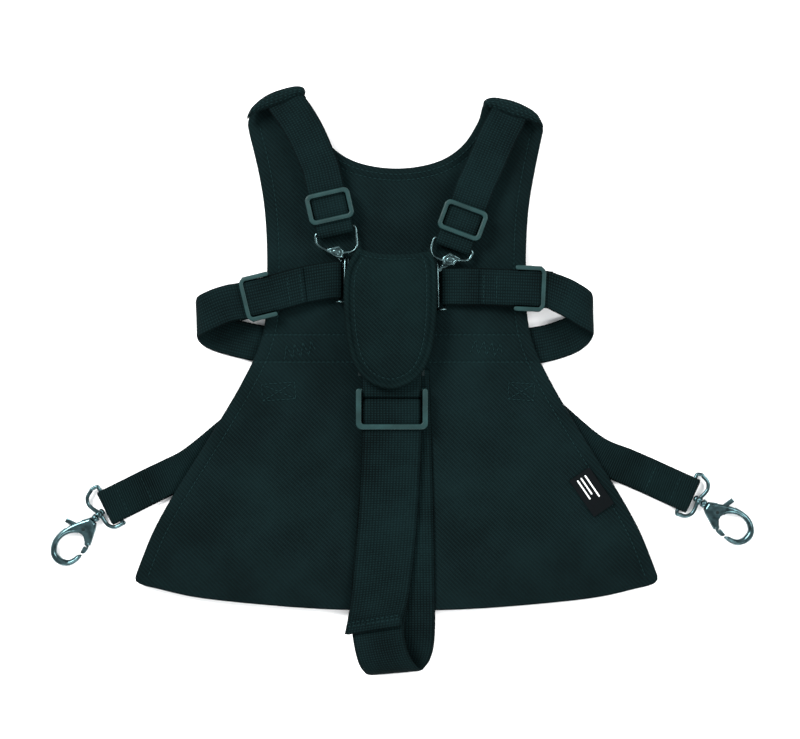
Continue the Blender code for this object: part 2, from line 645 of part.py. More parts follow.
def make_buckle():
    low_y, high_y = BUCKLE_Y
    left, right = CENTRE_X - BUCKLE_HALF, CENTRE_X + BUCKLE_HALF
    window = box("window", (CENTRE_X - 8.7, LATCH_Y[0] - 0.5, 5), (CENTRE_X + 8.7, LATCH_Y[1] + 0.5, 12),
                 "black_plastic", GUIDES)
    base = box("buckle_base", (left, low_y, 7.8), (right, high_y, 9.2), "black_plastic", bevel=0.3)
    cut(base, window)

    cover = box("buckle_cover", (left, low_y, 9.5), (right, high_y, 17.4), "black_plastic", bevel=1.2)
    tab = box("tab", (left + 0.2, low_y - 7, SLIDER_LOW[0]), (right - 0.2, low_y + 1, SLIDER_LOW[1]),
              "black_plastic", GUIDES)
    tab_slot = box("tab_slot", (left + 1.6, low_y - 4.6, 5), (right - 1.6, low_y - 0.2, 16),
                   "black_plastic", GUIDES)
    cavity = box("cavity", (left + 2.4, low_y + 2.4, 5), (right - 2.4, high_y - 2.4, 15.6),
                 "black_plastic", GUIDES)
    hole = rod("button_hole", (CENTRE_X, BUTTON_Y), BUTTON_RADIUS + 0.4, 12, 20, "black_plastic", GUIDES)
    join(cover, tab)
    cut(cover, tab_slot, cavity, hole)
    for sign in (-1, 1):
        inner, outer = CENTRE_X + sign * (BLADE[0] - 0.5), CENTRE_X + sign * (BLADE[1] + 0.5)
        mouth = box("mouth", (min(inner, outer), high_y - 4, 5), (max(inner, outer), high_y + 2, 11.9),
                    "black_plastic", GUIDES)
        cut(cover, mouth)
        socket = rod("screw_hole", (CENTRE_X + sign * 16, -4), 1.6, 5, 16.6, "black_plastic", GUIDES,
                     sides=12)
        cut(base, socket)

    for name, sign in (("left_buckle_screw", -1), ("right_buckle_screw", 1)):
        head = rod(name, (CENTRE_X + sign * 16, -4), 1.3, 8.0, 15.2, "steel", sides=12)
        collar = rod("screw_head", (CENTRE_X + sign * 16, -4), 2.6, 9.6, 10.8, "steel", GUIDES, sides=12)
        join(head, collar)


def make_release():
    """The button, the latch plate that it carries, and the spring under it."""
    button = rod("release_button", (CENTRE_X, BUTTON_Y), BUTTON_RADIUS, 13.5, 17.9, "black_plastic",
                 sides=32)
    flange = rod("flange", (CENTRE_X, BUTTON_Y), BUTTON_RADIUS + 1.4, 13.5, 15.2, "black_plastic",
                 GUIDES, sides=32)
    join(button, flange)

    disc = arc((CENTRE_X, BUTTON_Y), 10.0, 120, 420, 20)
    finger = [(CENTRE_X + 5.0, LATCH_Y[1] + 0.4), (CENTRE_X - 5.0, LATCH_Y[1] + 0.4)]
    bore = arc((CENTRE_X, BUTTON_Y), 5.0, 7, 352, 23)
    plate = mesh_from(flat_plate("latch_plate", [[*disc, *finger], bore], (11.7, 13.2), "steel"))
    for sign in (-1, 1):
        near, far, tip = (CENTRE_X + sign * reach for reach in (3.2, 4.8, 8.0))
        leg = box("leg", (min(near, far), LATCH_Y[0], 9.7), (max(near, far), LATCH_Y[1], 12.4), "steel",
                  GUIDES)
        middle = (near + far) / 2
        tooth = box("tooth", (min(middle, tip), LATCH_Y[0] + 0.2, 9.9),
                    (max(middle, tip), LATCH_Y[1] - 0.2, 11.2), "steel", GUIDES)
        join(plate, leg, tooth)

    turns, per_turn, radius, thin = 3, 12, 3.6, 0.3
    low, high = 9.2 + 0.3 + thin, 13.5 - 0.3 - thin
    points = []
    for step in range(turns * per_turn + 1):
        around = unit(360 * step / per_turn) * radius
        rise = low + (high - low) * step / (turns * per_turn)
        points.append((CENTRE_X + around.x, BUTTON_Y + around.y, rise))
    wire("button_spring", points, thin, "steel", per_span=1, cyclic=False)


# ---- Crotch strap ---------------------------------------------------------------------------

def crotch_fold(y, first, last):
    """Stations of a fold round a bar at that y, from one side to the other."""
    stations = []
    steps = 4
    for i in range(steps + 1):
        turn = math.radians(first + (last - first) * i / steps)
        stations.append((STRAP_X, y + FOLD_RADIUS * math.cos(turn),
                         FOLD_MIDDLE_Z + FOLD_RADIUS * math.sin(turn), 0))
    return stations


def make_crotch():
    place = (STRAP_X, CROTCH_SLIDER_Y)
    slider("crotch_slider", place, 90, CROTCH_SLIDER_SIZE, CROTCH_BAR, (SLIDER_HIGH, SLIDER_LOW, SLIDER_LOW))

    fold = crotch_fold(CROTCH_SLIDER_Y + 0.9, -90, 90)
    stations = [*REAR_RUN, *CROTCH_BEND, *FRONT_RUN, *fold, *TAIL_RUN]
    ribbon("crotch_strap", stations, CROTCH_WEB, WEB_THICK, "webbing")

    slider_fold = CROTCH_SLIDER_Y + CROTCH_SLIDER_SIZE[1] / 2 - CROTCH_BAR / 2 - BAR_INSET - 1.0
    buckle_fold = BUCKLE_Y[0] - 5.2
    lower = crotch_fold(slider_fold, 270, 90)
    upper = crotch_fold(buckle_fold, 90, -90)
    ribbon("crotch_connector", [*lower, *upper], CROTCH_WEB, WEB_THICK, "webbing", cyclic=True)


# ---- Cover pad and label --------------------------------------------------------------------

def pad_outline(inset):
    """The shield-shaped outline, clockwise from the top right, drawn in by inset on every side."""
    width = max(x for x, _ in PAD_HALF)
    high, low = PAD_HALF[0][1], PAD_HALF[-1][1]
    middle, reach = (high + low) / 2, (high - low) / 2
    right = [(PAD_X + x, y) for x, y in PAD_HALF]
    left = [(PAD_X - x, y) for x, y in reversed(PAD_HALF[:-1])]
    top = [(PAD_X - 14, PAD_TOP_DIP + 1), (PAD_X, PAD_TOP_DIP), (PAD_X + 14, PAD_TOP_DIP + 1)]
    outline = [*smooth_line([*right, *left], 2), *top]
    narrow, short = 1 - inset / width, 1 - inset / reach
    return [(PAD_X + (x - PAD_X) * narrow, middle + (y - middle) * short) for x, y in outline]


def make_cover_pad():
    inner = pad_outline(PAD_BINDING + 0.3)
    for name, levels, slot in (("cover_pad_face", PAD_FACE, "pad_fabric"),
                               ("cover_pad_foam", PAD_FOAM, "foam"),
                               ("cover_pad_backing", PAD_BACKING, "pad_fabric")):
        flat_plate(name, [inner], levels, slot)
    flat_plate("cover_pad_binding", [pad_outline(0), pad_outline(PAD_BINDING)],
               (PAD_BACKING[0], PAD_FACE[1]), "pad_fabric")


def make_label():
    axes = axes_at(129, -96, SHELL[1], -55.5)
    tag = box("blank_label", (-14.5, -8, 0.3), (14.5, 8, 0.7), "label_tape")
    attach(axes, tag)


# ---- Tether straps and snap hooks -----------------------------------------------------------

def tether_point(side, back):
    """A point of the free strap, measured back from its folded end."""
    return Vector(TETHER_END[side]) - back * unit(TETHER_ANGLE[side])


def make_tether(side):
    """The part sewn to the bib, both layers stitched as one, and the free end folded round the ring."""
    sign = -1 if side == "left" else 1
    free_angle = TETHER_ANGLE[side]
    width_angle = free_angle + 90 if side == "right" else free_angle - 90
    total = 2 * TETHER_LAYER + 0.3
    hinge = tether_point(side, TETHER_FREE + 0.4)
    sewn = [(x, y, total / 2, degrees + 90) for x, y, degrees in TETHER_SEWN[side]]
    sewn.append((hinge.x, hinge.y, total / 2, width_angle))
    ribbon(f"{side}_tether_sewn_end", sewn, TETHER_WEB, total, "webbing")

    half = TETHER_LAYER / 2
    radius = 2.2
    route = [(TETHER_FREE, half), (24, half), (16, half), (9.5, AXIS_Z - radius)]
    for turn in (-90, -45, 0, 45, 90):
        route.append((half + radius - radius * math.cos(math.radians(turn)),
                      AXIS_Z + radius * math.sin(math.radians(turn))))
    route += [(9.5, AXIS_Z + radius), (16, 3.6), (22, total - half + 0.4), (TETHER_FREE, total - half)]
    stations = []
    for back, z in route:
        place = tether_point(side, back)
        stations.append((place.x, place.y, z, width_angle))
    ribbon(f"{side}_tether_strap", stations, TETHER_WEB, TETHER_LAYER, "webbing")
    return sign


def hook_mirror(points, sign):
    return [(x, sign * y) for x, y in points]


def make_tether_ring(side, sign, axes):
    """D-shaped eye with a swivel collar. Its straight bar lies in the strap's fold."""
    collar_x = -4.2
    end = Vector(TETHER_END[side]) - Vector(HOOK_AT[side])
    end.rotate(Matrix.Rotation(-math.radians(HOOK_ANGLE[side]), 2))
    bar_x = end.x - BAR_BACK
    lean = math.tan(math.radians(abs(HOOK_ANGLE[side] - TETHER_ANGLE[side]) / 2))
    top, low = 14.0, -14.0
    bar = [(bar_x - lean * y, y) for y in (top, 12.5, 6, 0, -6, -12.5, low)]
    lobe = [(-4.6, 1.5), (-3.6, 5.5), (-3.5, 9.8), (-6.1, 13.5), (-10.6, 15.0), (bar_x + 2.0, 15.4)]
    points = [*hook_mirror(lobe, 1), *bar, *reversed(hook_mirror(lobe, -1))]
    placed = [(x, sign * y, 0) for x, y in points]
    ring = mesh_from(wire(f"{side}_tether_ring", placed, TETHER_WIRE, "chrome", per_span=2, cyclic=True))
    ring.data.materials.append(MATERIALS["chrome"])
    collar = turned(f"{side}_collar", [(-2.6, 0), (-2.6, 2.5), (-3.4, 2.8), (-5.2, 2.8), (-5.9, 2.5),
                                       (-5.9, 0)], "chrome", 20)
    bore = turned(f"{side}_collar_bore", [(0.5, 0), (0.5, 1.5), (-9.0, 1.5), (-9.0, 0)], "chrome", 20)
    for guide in (collar, bore):
        move_to(guide, GUIDES)
    join(ring, collar)
    cut(ring, bore)
    attach(axes, ring, collar, bore)


def make_hook(side, sign, axes):
    """Lobster-claw body with a pocket for the gate, the gate, its pin and spring, and the swivel stud."""
    half = HOOK_THICK / 2
    outline = hook_mirror([*smooth_line(HOOK_OUTER, 2), *smooth_line(HOOK_INNER, 2), *HOOK_HEEL], sign)
    body = mesh_from(flat_plate(f"{side}_hook_body", [outline], (-half, half), "chrome"))
    px, py = GATE_PIVOT[0], sign * GATE_PIVOT[1]
    pocket = []
    for low, high, radius in ((-63, 8, 16.5), (8, 48, 4.3), (48, 118, 16.5), (118, 297, 4.3)):
        pocket += arc((0, 0), radius, low, high, max(2, round((high - low) / 20)))
    pocket = [(px + p.x, py + sign * p.y) for p in pocket]
    hollow = mesh_from(flat_plate("pocket", [pocket], (-POCKET_THICK / 2, POCKET_THICK / 2), "chrome",
                                  GUIDES))
    bore = rod("pin_bore", (px, py), PIN_RADIUS + 0.1, -5, 5, "chrome", GUIDES, sides=16)
    shank_bore = turned("shank_bore", [(4.0, 0), (4.0, 1.1), (-1.0, 1.1), (-1.0, 0)], "chrome", 16)
    move_to(shank_bore, GUIDES)
    cut(body, hollow, bore, shank_bore)

    stud = turned(f"{side}_swivel_stud",
                  [(3.6, 0), (3.6, 0.8), (0.9, 0.8), (0.9, 2.7), (-2.0, 2.7), (-2.0, 1.2), (-6.3, 1.2),
                   (-6.3, 2.4), (-7.6, 1.9), (-8.2, 0)], "chrome", 20)

    gate_half = GATE_THICK / 2
    hub = rod(f"{side}_gate", (0, 0), 2.9, -gate_half, gate_half, "chrome", sides=20)
    finger_angle, finger_length = GATE_FINGER
    lever_angle, lever_length = GATE_LEVER
    finger = box("finger", (0, -1.3, -gate_half), (finger_length, 1.3, gate_half), "chrome", GUIDES)
    finger.rotation_euler.z = math.radians(sign * finger_angle)
    finger.location = (*(unit(sign * finger_angle) * finger_length / 2 * MM), 0)
    lever = box("lever", (0, -1.1, -gate_half), (lever_length, 1.1, gate_half), "chrome", GUIDES)
    lever.rotation_euler.z = math.radians(sign * lever_angle)
    lever.location = (*(unit(sign * lever_angle) * lever_length / 2 * MM), 0)
    knob_at = unit(sign * lever_angle) * (lever_length - 0.6)
    knob = rod("knob", knob_at, 1.5, -1.9, 1.9, "chrome", GUIDES, sides=12)
    gate_bore = rod("gate_bore", (0, 0), PIN_RADIUS + 0.1, -5, 5, "chrome", GUIDES, sides=16)
    recess = rod("recess", (0, 0), 2.6, 0.3, 5, "chrome", GUIDES, sides=20)
    join(hub, finger, lever, knob)
    cut(hub, gate_bore, recess)
    pivot = bpy.data.objects.new("gate_axis", None)
    HARNESS.objects.link(pivot)
    pivot.location = (px * MM, py * MM, 0)
    attach(pivot, hub, finger, lever, knob, gate_bore, recess)

    pin = rod(f"{side}_gate_pin", (px, py), PIN_RADIUS, -half, half, "chrome", sides=16)
    coil = [(px + p.x, py + p.y, 0.85) for p in arc((0, 0), 1.85, 0, 300, 12)]
    spring = wire(f"{side}_gate_spring", coil, 0.25, "steel", per_span=1, cyclic=False)
    attach(axes, body, hollow, bore, shank_bore, stud, pivot, pin, spring)


def make_tether_side(side):
    sign = make_tether(side)
    x, y = HOOK_AT[side]
    axes = axes_at(x, y, AXIS_Z, HOOK_ANGLE[side])
    make_tether_ring(side, sign, axes)
    make_hook(side, sign, axes)


empty_the_scene()
HARNESS = new_collection("vest_harness")
GUIDES = new_collection("cutters")
MATERIALS = {name: make_material(name) for name in COLOURS}
make_panel()
for SIDE in ("left", "right"):
    make_tab_roll(SIDE)
    make_shoulder_strap(SIDE)
    make_shoulder_ring(SIDE)
    make_shoulder_slider(SIDE)
    make_waist_belt(SIDE)
    make_waist_slider(SIDE)
    make_waist_connector(SIDE)
    make_tongue(SIDE)
    make_tether_side(SIDE)
make_buckle()
make_release()
make_crotch()
make_cover_pad()
make_label()
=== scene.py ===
"""A child's vest harness lying on its back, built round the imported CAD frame.

Sizes below are millimetres in the row frame, turned to metres by MM. +X is to the right of the vest as
it lies, +Y towards the neckline and +Z up. Soft goods follow the routes of the CAD part.
"""

import math

import bmesh
import bpy
import numpy as np
from mathutils import Matrix, Vector
from mathutils.geometry import delaunay_2d_cdt


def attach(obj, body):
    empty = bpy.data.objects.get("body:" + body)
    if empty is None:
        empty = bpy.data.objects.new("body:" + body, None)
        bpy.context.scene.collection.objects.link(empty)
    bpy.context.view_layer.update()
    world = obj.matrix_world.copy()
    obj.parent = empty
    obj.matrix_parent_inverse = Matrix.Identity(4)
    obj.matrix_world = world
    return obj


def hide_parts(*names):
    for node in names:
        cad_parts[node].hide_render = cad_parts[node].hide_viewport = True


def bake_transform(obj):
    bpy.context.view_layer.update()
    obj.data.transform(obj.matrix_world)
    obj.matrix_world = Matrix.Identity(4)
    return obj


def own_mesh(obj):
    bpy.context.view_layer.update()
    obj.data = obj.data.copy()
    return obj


MM = 0.001
SIDES = ("left", "right")

# Webbing: widths and thicknesses
WEB = 24.6
WEB_THICK = 1.4
WEB_EDGE = 0.9
WEB_SECTION_STEPS = 14
CROTCH_WEB = 39.4
TETHER_WEB = 24.0
TETHER_LAYER = 1.2

# Vest panel outline, as in the CAD part
NECK_HALF = [(0, 118.4), (16.5, 120), (29.5, 123.8), (38.8, 129.2), (46.2, 136.3), (52.3, 146)]
SIDE_HALF = [(91.4, 115.4), (87.7, 93), (86, 69), (85.8, 50), (86.5, 22), (91, 1), (102.4, -23.4),
             (123.5, -59), (149.5, -100.5), (161.4, -122.5), (168, -138.5), (173.2, -152.2)]
HEM_HALF = [(172.8, -155.2), (169, -157.6), (159, -160.0), (135, -165.5), (88, -170.8), (41, -174),
            (0, -174.5)]
TAB_NECK_CORNER = {"left": (-57.8, 158.5), "right": (54.9, 151.1)}
TAB_SIDE_CORNER = {"left": (-98.0, 143.0), "right": (96.4, 139.8)}
TAB_EDGE = {
    "left": [(-58.8, 161.0), (-61.0, 167.5), (-66.0, 168.6), (-75.0, 166.4), (-85.0, 162.4),
             (-94.2, 157.0), (-98.0, 151.4), (-98.6, 147.0)],
    "right": [(55.8, 155.0), (57.6, 160.6), (64.0, 162.4), (77.0, 159.4), (86.0, 155.4), (93.2, 151.2),
              (96.8, 146.4), (97.2, 143.2)],
}

# Rolled end of each shoulder tab: its far and near edges, from the neck outwards, and its levels
ROLL_FAR = {
    "left": [(-59.6, 167.6), (-61.0, 170.5), (-65.4, 171.6), (-75.5, 169.5), (-84.6, 166.0),
             (-91.5, 161.2), (-96.2, 156.2), (-98.3, 151.4)],
    "right": [(56.8, 158.4), (57.6, 162.0), (62.5, 164.1), (71.0, 163.2), (77.7, 161.5), (86.8, 157.4),
              (92.8, 152.9), (96.6, 145.9)],
}
ROLL_NEAR = {
    "left": [(-60.4, 165.4), (-65.4, 164.6), (-75.5, 159.6), (-84.6, 156.6), (-91.0, 154.8),
             (-95.6, 152.2), (-98.2, 149.4)],
    "right": [(57.8, 157.4), (63.4, 156.8), (69.6, 153.9), (78.7, 150.4), (87.3, 148.6), (93.0, 146.2),
              (96.5, 143.8)],
}
ROLL_LEVEL = 14.6
ROLL_RISE = 5.6
ROLL_DROP = 6.0
ROLL_ROUND = 4.4
PANEL_BOTTOM = 3.9
PANEL_RIM = 1.8
STITCH_INSET = 8.0
NECK_INSET = 4.2
FACING_GAP = 0.4
FACING_WIDTH = 11.0
SEAMS_Y = (8.0, -10.0)
TACK_BOXES = [((-78, -29.5), (22, 11), 4), ((82.5, -29.5), (17, 11), -4)]
TACK_ZIGZAGS = [((-64, -2), (22, 9), 10), ((60, -1), (22, 9), -8)]
CASING_WIDTH = 20
CASING_SEAM = 8.2

# Thread
STITCH_LENGTH = 2.3
STITCH_GAP = 0.9
STITCH_RADIUS = 0.32
STITCH_STEP = 0.5
STITCH_SWELL = (0.35, 0.9, 1.0, 0.9, 0.35)
FINE_STITCH = 0.26
STRAP_STITCH = 0.28

# Shoulder straps, sliders and rings
SHOULDER_END = {"left": (-39.7, 73.3), "right": (36.4, 64.1)}
SHOULDER_LEAN = {"left": 12.7, "right": -20.4}
SHOULDER_RUN = {
    "left": [(-53.2, 126.1, 20), (-59.6, 140.4, 27), (-66.1, 151.5, 30), (-71.5, 159.0, 30),
             (-74.4, 163.4, 30)],
    "right": [(58.2, 119.6, -22), (66.5, 138.4, -24), (70.4, 146.0, -25), (72.4, 149.8, -24),
              (74.6, 155.2, -20)],
}
SHOULDER_FRONT_Z = 15.9
SHOULDER_RETURN_Z = 10.7
SHOULDER_SLIDER_AT = {"left": 19.4, "right": 20.3}
STRAIGHT_RUN = 44.0
SLIDER_SIZE = (30.0, 20.5)
RING_WIRE = 0.95
RING_BAR_HALF = 12.6
RING_BAR_ALONG = 3.6
RING_BEND = [(13.4, 2.6), (13.5, 0.6)]
RING_LOWER = {
    "left": [(-26.4, 73.0), (-26.0, 69.5), (-26.0, 66.6), (-27.2, 64.3), (-29.6, 62.6), (-33.7, 62.2),
             (-38.2, 60.9), (-42.5, 61.9), (-46.5, 63.9), (-50.4, 66.0), (-52.7, 68.3)],
    "right": [(48.0, 57.9), (45.3, 57.0), (42.0, 57.2), (39.2, 57.1), (34.6, 55.9), (30.8, 56.9),
              (27.0, 58.3), (24.4, 59.7), (22.9, 62.4), (22.9, 66.0)],
}
NIB_HEAD = {
    "left": [(-35.0, 63.0), (-37.9, 66.4), (-46.0, 63.9), (-41.4, 59.8), (-34.8, 58.2)],
    "right": [(30.3, 58.6), (35.0, 61.9), (41.8, 58.0), (37.6, 53.9), (30.2, 53.9)],
}
TONGUE_RAIL = {"left": ((-33.9, 57.0), (-34.4, 30.2)), "right": ((27.0, 54.0), (27.6, 25.2))}

# Waist belts, their sliders and connectors
FOLD_LOW_Z = 10.2
FOLD_HIGH_Z = 14.4
FOLD_RADIUS = (FOLD_HIGH_Z - FOLD_LOW_Z) / 2
FOLD_MIDDLE_Z = (FOLD_HIGH_Z + FOLD_LOW_Z) / 2
WAIST_SLIDER = {"left": ((-91.1, 32.7), 13.6), "right": ((87.8, 38.3), 177.5)}
WAIST_RUN = {
    "left": [(-62, -2.2, 1.8, 84), (-75, -0.4, 1.8, 83), (-88.8, 1.9, 1.8, 81), (-105, 5.4, 1.5, 77),
             (-117, 8.8, 1.2, 76), (-125.5, 12.4, 2.0, 80), (-130.6, 16.2, 5.2, 87),
             (-131.6, 18.2, 9.2, 92), (-129.4, 20.4, 13.4, 100), (-124.0, 23.2, 16.0, 110),
             (-115.5, 26.9, 16.6, 113), (-107.5, 29.2, 15.6, 107)],
    "right": [(60, -1.4, 1.8, 94), (75, -0.8, 1.8, 94), (93, 1.2, 1.8, 97), (104, 3.6, 1.5, 101),
              (116, 8.0, 1.2, 106), (124, 13.2, 2.0, 102), (128.7, 18.2, 5.2, 95),
              (129.4, 20.6, 9.2, 91), (127.2, 22.8, 13.4, 82), (121.9, 26.2, 16.0, 71),
              (112.5, 32.0, 16.6, 73), (104.5, 35.6, 15.6, 81)],
}
WAIST_TAIL = 15.0
LAP_STITCHES = (2.5, 11.0)
TAIL_SEAM = (-14.3, -180.8)
TAIL_SEAM_ANGLE = 9
CONNECTOR_MIDDLE = {"left": (-60.4, 40.9), "right": (54.8, 39.6)}
CONNECTOR_END = {"left": (-37.0, 44.2), "right": (31.0, 39.8)}
CENTRE_X = -3.4
TONGUE_LEVELS = (8.8, 12.4)
TONGUE_BAR = {"left": -38.2, "right": 31.8}

# Release button's spring
BUTTON_AT = (-3.4, 8.0)
BUTTON_SPRING = (9.8, 12.9)
SPRING_TURNS = 3

# Crotch strap
STRAP_X = -3.0
CROTCH_SLIDER_Y = -40.9
CROTCH_SLIDER_SIZE = (47.4, 27.0)
BUCKLE_FOLD_Y = -17.2
REAR_RUN = [(2.0, -15, 8.5, 0, 1.0), (4.5, -90, 8.5, 1, 1.0), (5.8, -166, 8.5, 1, 1.0),
            (5.9, -184, 7.4, 1, 1.0), (5.7, -196, 5.8, 1, 0.98), (4.9, -204, 4.6, 2, 0.95),
            (3.2, -210, 4.4, 3, 0.92)]
CROTCH_BEND = [(0.9, -213.6, 5.6, 5, 0.91), (-0.6, -214.9, 8.6, 5, 0.91), (-1.9, -214.2, 12.0, 5, 0.91),
               (-4.2, -211.6, 14.8, 6, 0.89), (-7.4, -206.8, 16.4, 8, 0.87), (-9.9, -199.5, 16.6, 9, 0.86)]
FRONT_RUN = [(-11.8, -189, 14.8, 8, 0.87), (-11.6, -178, 12.4, 6, 0.93), (-10.8, -168, 10.6, 5, 0.97),
             (-9.6, -150, FOLD_LOW_Z, 4, 1.0), (-5.8, -109, FOLD_LOW_Z, 2, 1.0),
             (-3.2, -72, FOLD_LOW_Z, 0, 1.0), (STRAP_X, -54, FOLD_LOW_Z, 0, 1.0)]
TAIL_RUN = [(STRAP_X, -56, FOLD_HIGH_Z, 0, 1.0), (-3.4, -70, 13.2, 0, 1.0), (-5.4, -109, 12.2, 2, 1.0),
            (-8.7, -147, 12.2, 5, 1.0), (-11.4, -168, 13.2, 7, 0.99), (-13.6, -178.5, 15.0, 8.5, 0.97),
            (-15.1, -184.4, 16.2, 9, 0.96)]
TAIL_FOLD = [(-15.5, -185.8, 17.1, 9, 0.96), (-15.1, -184.6, 18.1, 9, 0.96),
             (-14.1, -179.8, 17.3, 8.5, 0.96)]

# Cover pad
PAD_X = -4.0
PAD_TOP = {"left": [(21.5, 65), (24.7, 59.5), (27.2, 55.5), (29.6, 48.5)],
           "right": [(26.4, 62.6), (28.6, 58.2), (29.8, 53.5), (30.4, 47.5)]}
PAD_HALF = [(30.5, 39.3), (30.5, 26.7), (29.7, 14.1), (28, 1.5), (24.4, -10.6), (18.5, -19.8),
            (10.9, -25.1), (0, -28)]
PAD_TOP_DIP = 60.5
PAD_LEVELS = (18.6, 23.4)
PAD_BAND = 4.2

# Tether straps and snap hooks
HOOK_AT = {"left": (-200.3, -113.9), "right": (204.3, -104.2)}
HOOK_ANGLE = {"left": 224.0, "right": -33.0}
TETHER_END = {"left": (-194.0, -107.6), "right": (197.2, -99.4)}
TETHER_ANGLE = {"left": 206.6, "right": -24.5}
TETHER_HINGE = 36.2
TETHER_STITCHES = [(13.5, 4.75), (31.0, 2.85)]
TETHER_SEWN = {
    "left": [(-72, -26.5, 39.4), (-105, -53.6, 39.4), (-136, -78.6, 36), (-148, -84.9, 29)],
    "right": [(78, -25.2, -41.0), (104, -47.8, -41.0), (131.7, -70.5, -35), (150.8, -78.6, -26)],
}
BAR_BACK = 5.0
AXIS_Z = 2.9
TETHER_WIRE = 1.3
HOOK_THICK = 5.4
HOOK_ROUND = 2.6
HOOK_OUTER = [(1.2, 2.6), (7.1, 5.6), (13.3, 8.2), (18.4, 9.5), (24.3, 9.9), (29.9, 9.0), (34.7, 6.3),
              (37.9, 2.5), (38.9, -1.8), (38.0, -5.8), (35.8, -9.0), (33.1, -11.1), (29.3, -12.2),
              (25.8, -12.3), (22.8, -11.7)]
HOOK_INNER = [(23.2, -10.3), (25.3, -9.1), (28.6, -8.6), (31.3, -7.6), (33.0, -5.5), (33.8, -3.4),
              (33.8, 0.9), (31.7, 3.4), (29.1, 5.0), (25.1, 5.9), (21.3, 5.4), (18.1, 3.9),
              (15.7, 1.9), (14.2, -0.9), (14.2, -3.6), (15.6, -6.2), (16.2, -7.2)]
HOOK_TIP = [(17.3, -8.5), (14.6, -11.0)]
HOOK_HEEL = [(12.4, -9.9), (8.5, -7.7), (4.2, -5.4), (1.2, -3.0)]
GATE_PIVOT = (10.0, 0.0)
GATE_FINGER = [(1.6, -0.6), (3.6, -3.4), (5.4, -6.2), (6.8, -7.7), (7.0, -10.8), (5.6, -10.6), (4.2, -7.9),
               (2.2, -3.9), (-1.2, -0.8)]
GATE_TIP = [(7.9, -8.1), (9.8, -8.7), (12.1, -9.4), (12.5, -10.1), (11.6, -11.4), (10.4, -11.9),
            (8.2, -11.5), (6.6, -11.2)]
GATE_LEVER = (71.0, 13.5)
GATE_POCKET = [(-64, 9, 16.5), (9, 47, 4.7), (47, 119, 16.5), (119, 296, 4.7)]
COLLAR_PROFILE = [(-2.6, 1.5), (-2.6, 2.4), (-2.9, 2.75), (-3.4, 2.85), (-3.7, 2.6), (-4.8, 2.6),
                  (-5.1, 2.85), (-5.5, 2.75), (-5.9, 2.4), (-5.9, 1.5), (-2.6, 1.5)]
STUD_PROFILE = [(3.6, 0), (3.6, 0.8), (0.9, 0.8), (0.9, 2.3), (0.5, 2.7), (-1.6, 2.7), (-2.0, 2.3),
                (-2.0, 1.2), (-6.3, 1.2), (-6.3, 2.2), (-6.9, 2.3), (-7.6, 1.9), (-8.1, 1.0), (-8.2, 0)]

# Label
LABEL_AT = (129.0, -96.0)
LABEL_TURN = -55.5
LABEL_SIZE = (29.0, 16.0)
LABEL_BARS = [(-3.2, 2.6, 17.0), (-5.2, -0.6, 13.0), (-4.2, -3.4, 15.0)]

# Camera and light
CAMERA_AT = (2.3, -14.9)
CAMERA_HEIGHT = 1257.0
LENS = 85.0
SENSOR = 36.0
WORLD_STRENGTH = 0.75
WORLD_COLOUR = (0.95, 0.98, 1.0, 1)
LIGHTS = [("key", (-1.1, 1.0, 1.5), (0.8, 0.8), 74), ("fill", (1.3, 0.5, 1.3), (1.0, 1.0), 34),
          ("low", (0.2, -1.5, 1.2), (1.4, 0.6), 24)]
FLOOR_HALF = 4000
FLOOR_Z = -0.6

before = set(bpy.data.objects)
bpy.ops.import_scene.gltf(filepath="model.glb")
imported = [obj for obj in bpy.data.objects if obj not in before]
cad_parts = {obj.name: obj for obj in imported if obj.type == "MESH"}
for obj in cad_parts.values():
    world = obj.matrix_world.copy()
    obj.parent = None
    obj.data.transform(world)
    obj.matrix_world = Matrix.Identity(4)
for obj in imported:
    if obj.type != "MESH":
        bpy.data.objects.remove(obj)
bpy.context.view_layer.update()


# ---- Lines ----------------------------------------------------------------------------------

def unit(degrees):
    return Vector((math.cos(math.radians(degrees)), math.sin(math.radians(degrees))))


def pace(a, b):
    """Knot spacing between two stations: it keeps the line from overshooting where they crowd."""
    return max((Vector(b[:3]) - Vector(a[:3])).length, 1e-6) ** 0.5


def smooth_line(points, per_span, cyclic=False):
    """Points along a centripetal Catmull-Rom line through the given points, of any dimension."""
    given = [Vector(p) for p in points]
    count = len(given)
    line = []
    for i in range(count if cyclic else count - 1):
        if cyclic:
            a, b, c, d = (given[(i + k) % count] for k in (-1, 0, 1, 2))
        else:
            b, c = given[i], given[i + 1]
            a = given[i - 1] if i > 0 else b + (b - c)
            d = given[i + 2] if i + 2 < count else c + (c - b)
        before, span, after = pace(a, b), pace(b, c), pace(c, d)
        leaving = span * ((b - a) / before - (c - a) / (before + span)) + (c - b)
        arriving = span * ((d - c) / after - (d - b) / (span + after)) + (c - b)
        for step in range(per_span):
            t = step / per_span
            line.append(b + leaving * t + (3 * (c - b) - 2 * leaving - arriving) * t ** 2
                        + (2 * (b - c) + leaving + arriving) * t ** 3)
    if not cyclic:
        line.append(given[-1])
    return line


def offset_line(points, distance):
    """The open line moved sideways, to its left when distance is positive."""
    given = [Vector(p[:2]) for p in points]
    moved = []
    for i, point in enumerate(given):
        along = (given[min(i + 1, len(given) - 1)] - given[max(i - 1, 0)]).normalized()
        moved.append(point + distance * Vector((-along.y, along.x)))
    return moved


def arc(centre, radius, start, end, steps):
    return [Vector(centre) + radius * unit(start + (end - start) * i / steps) for i in range(steps + 1)]


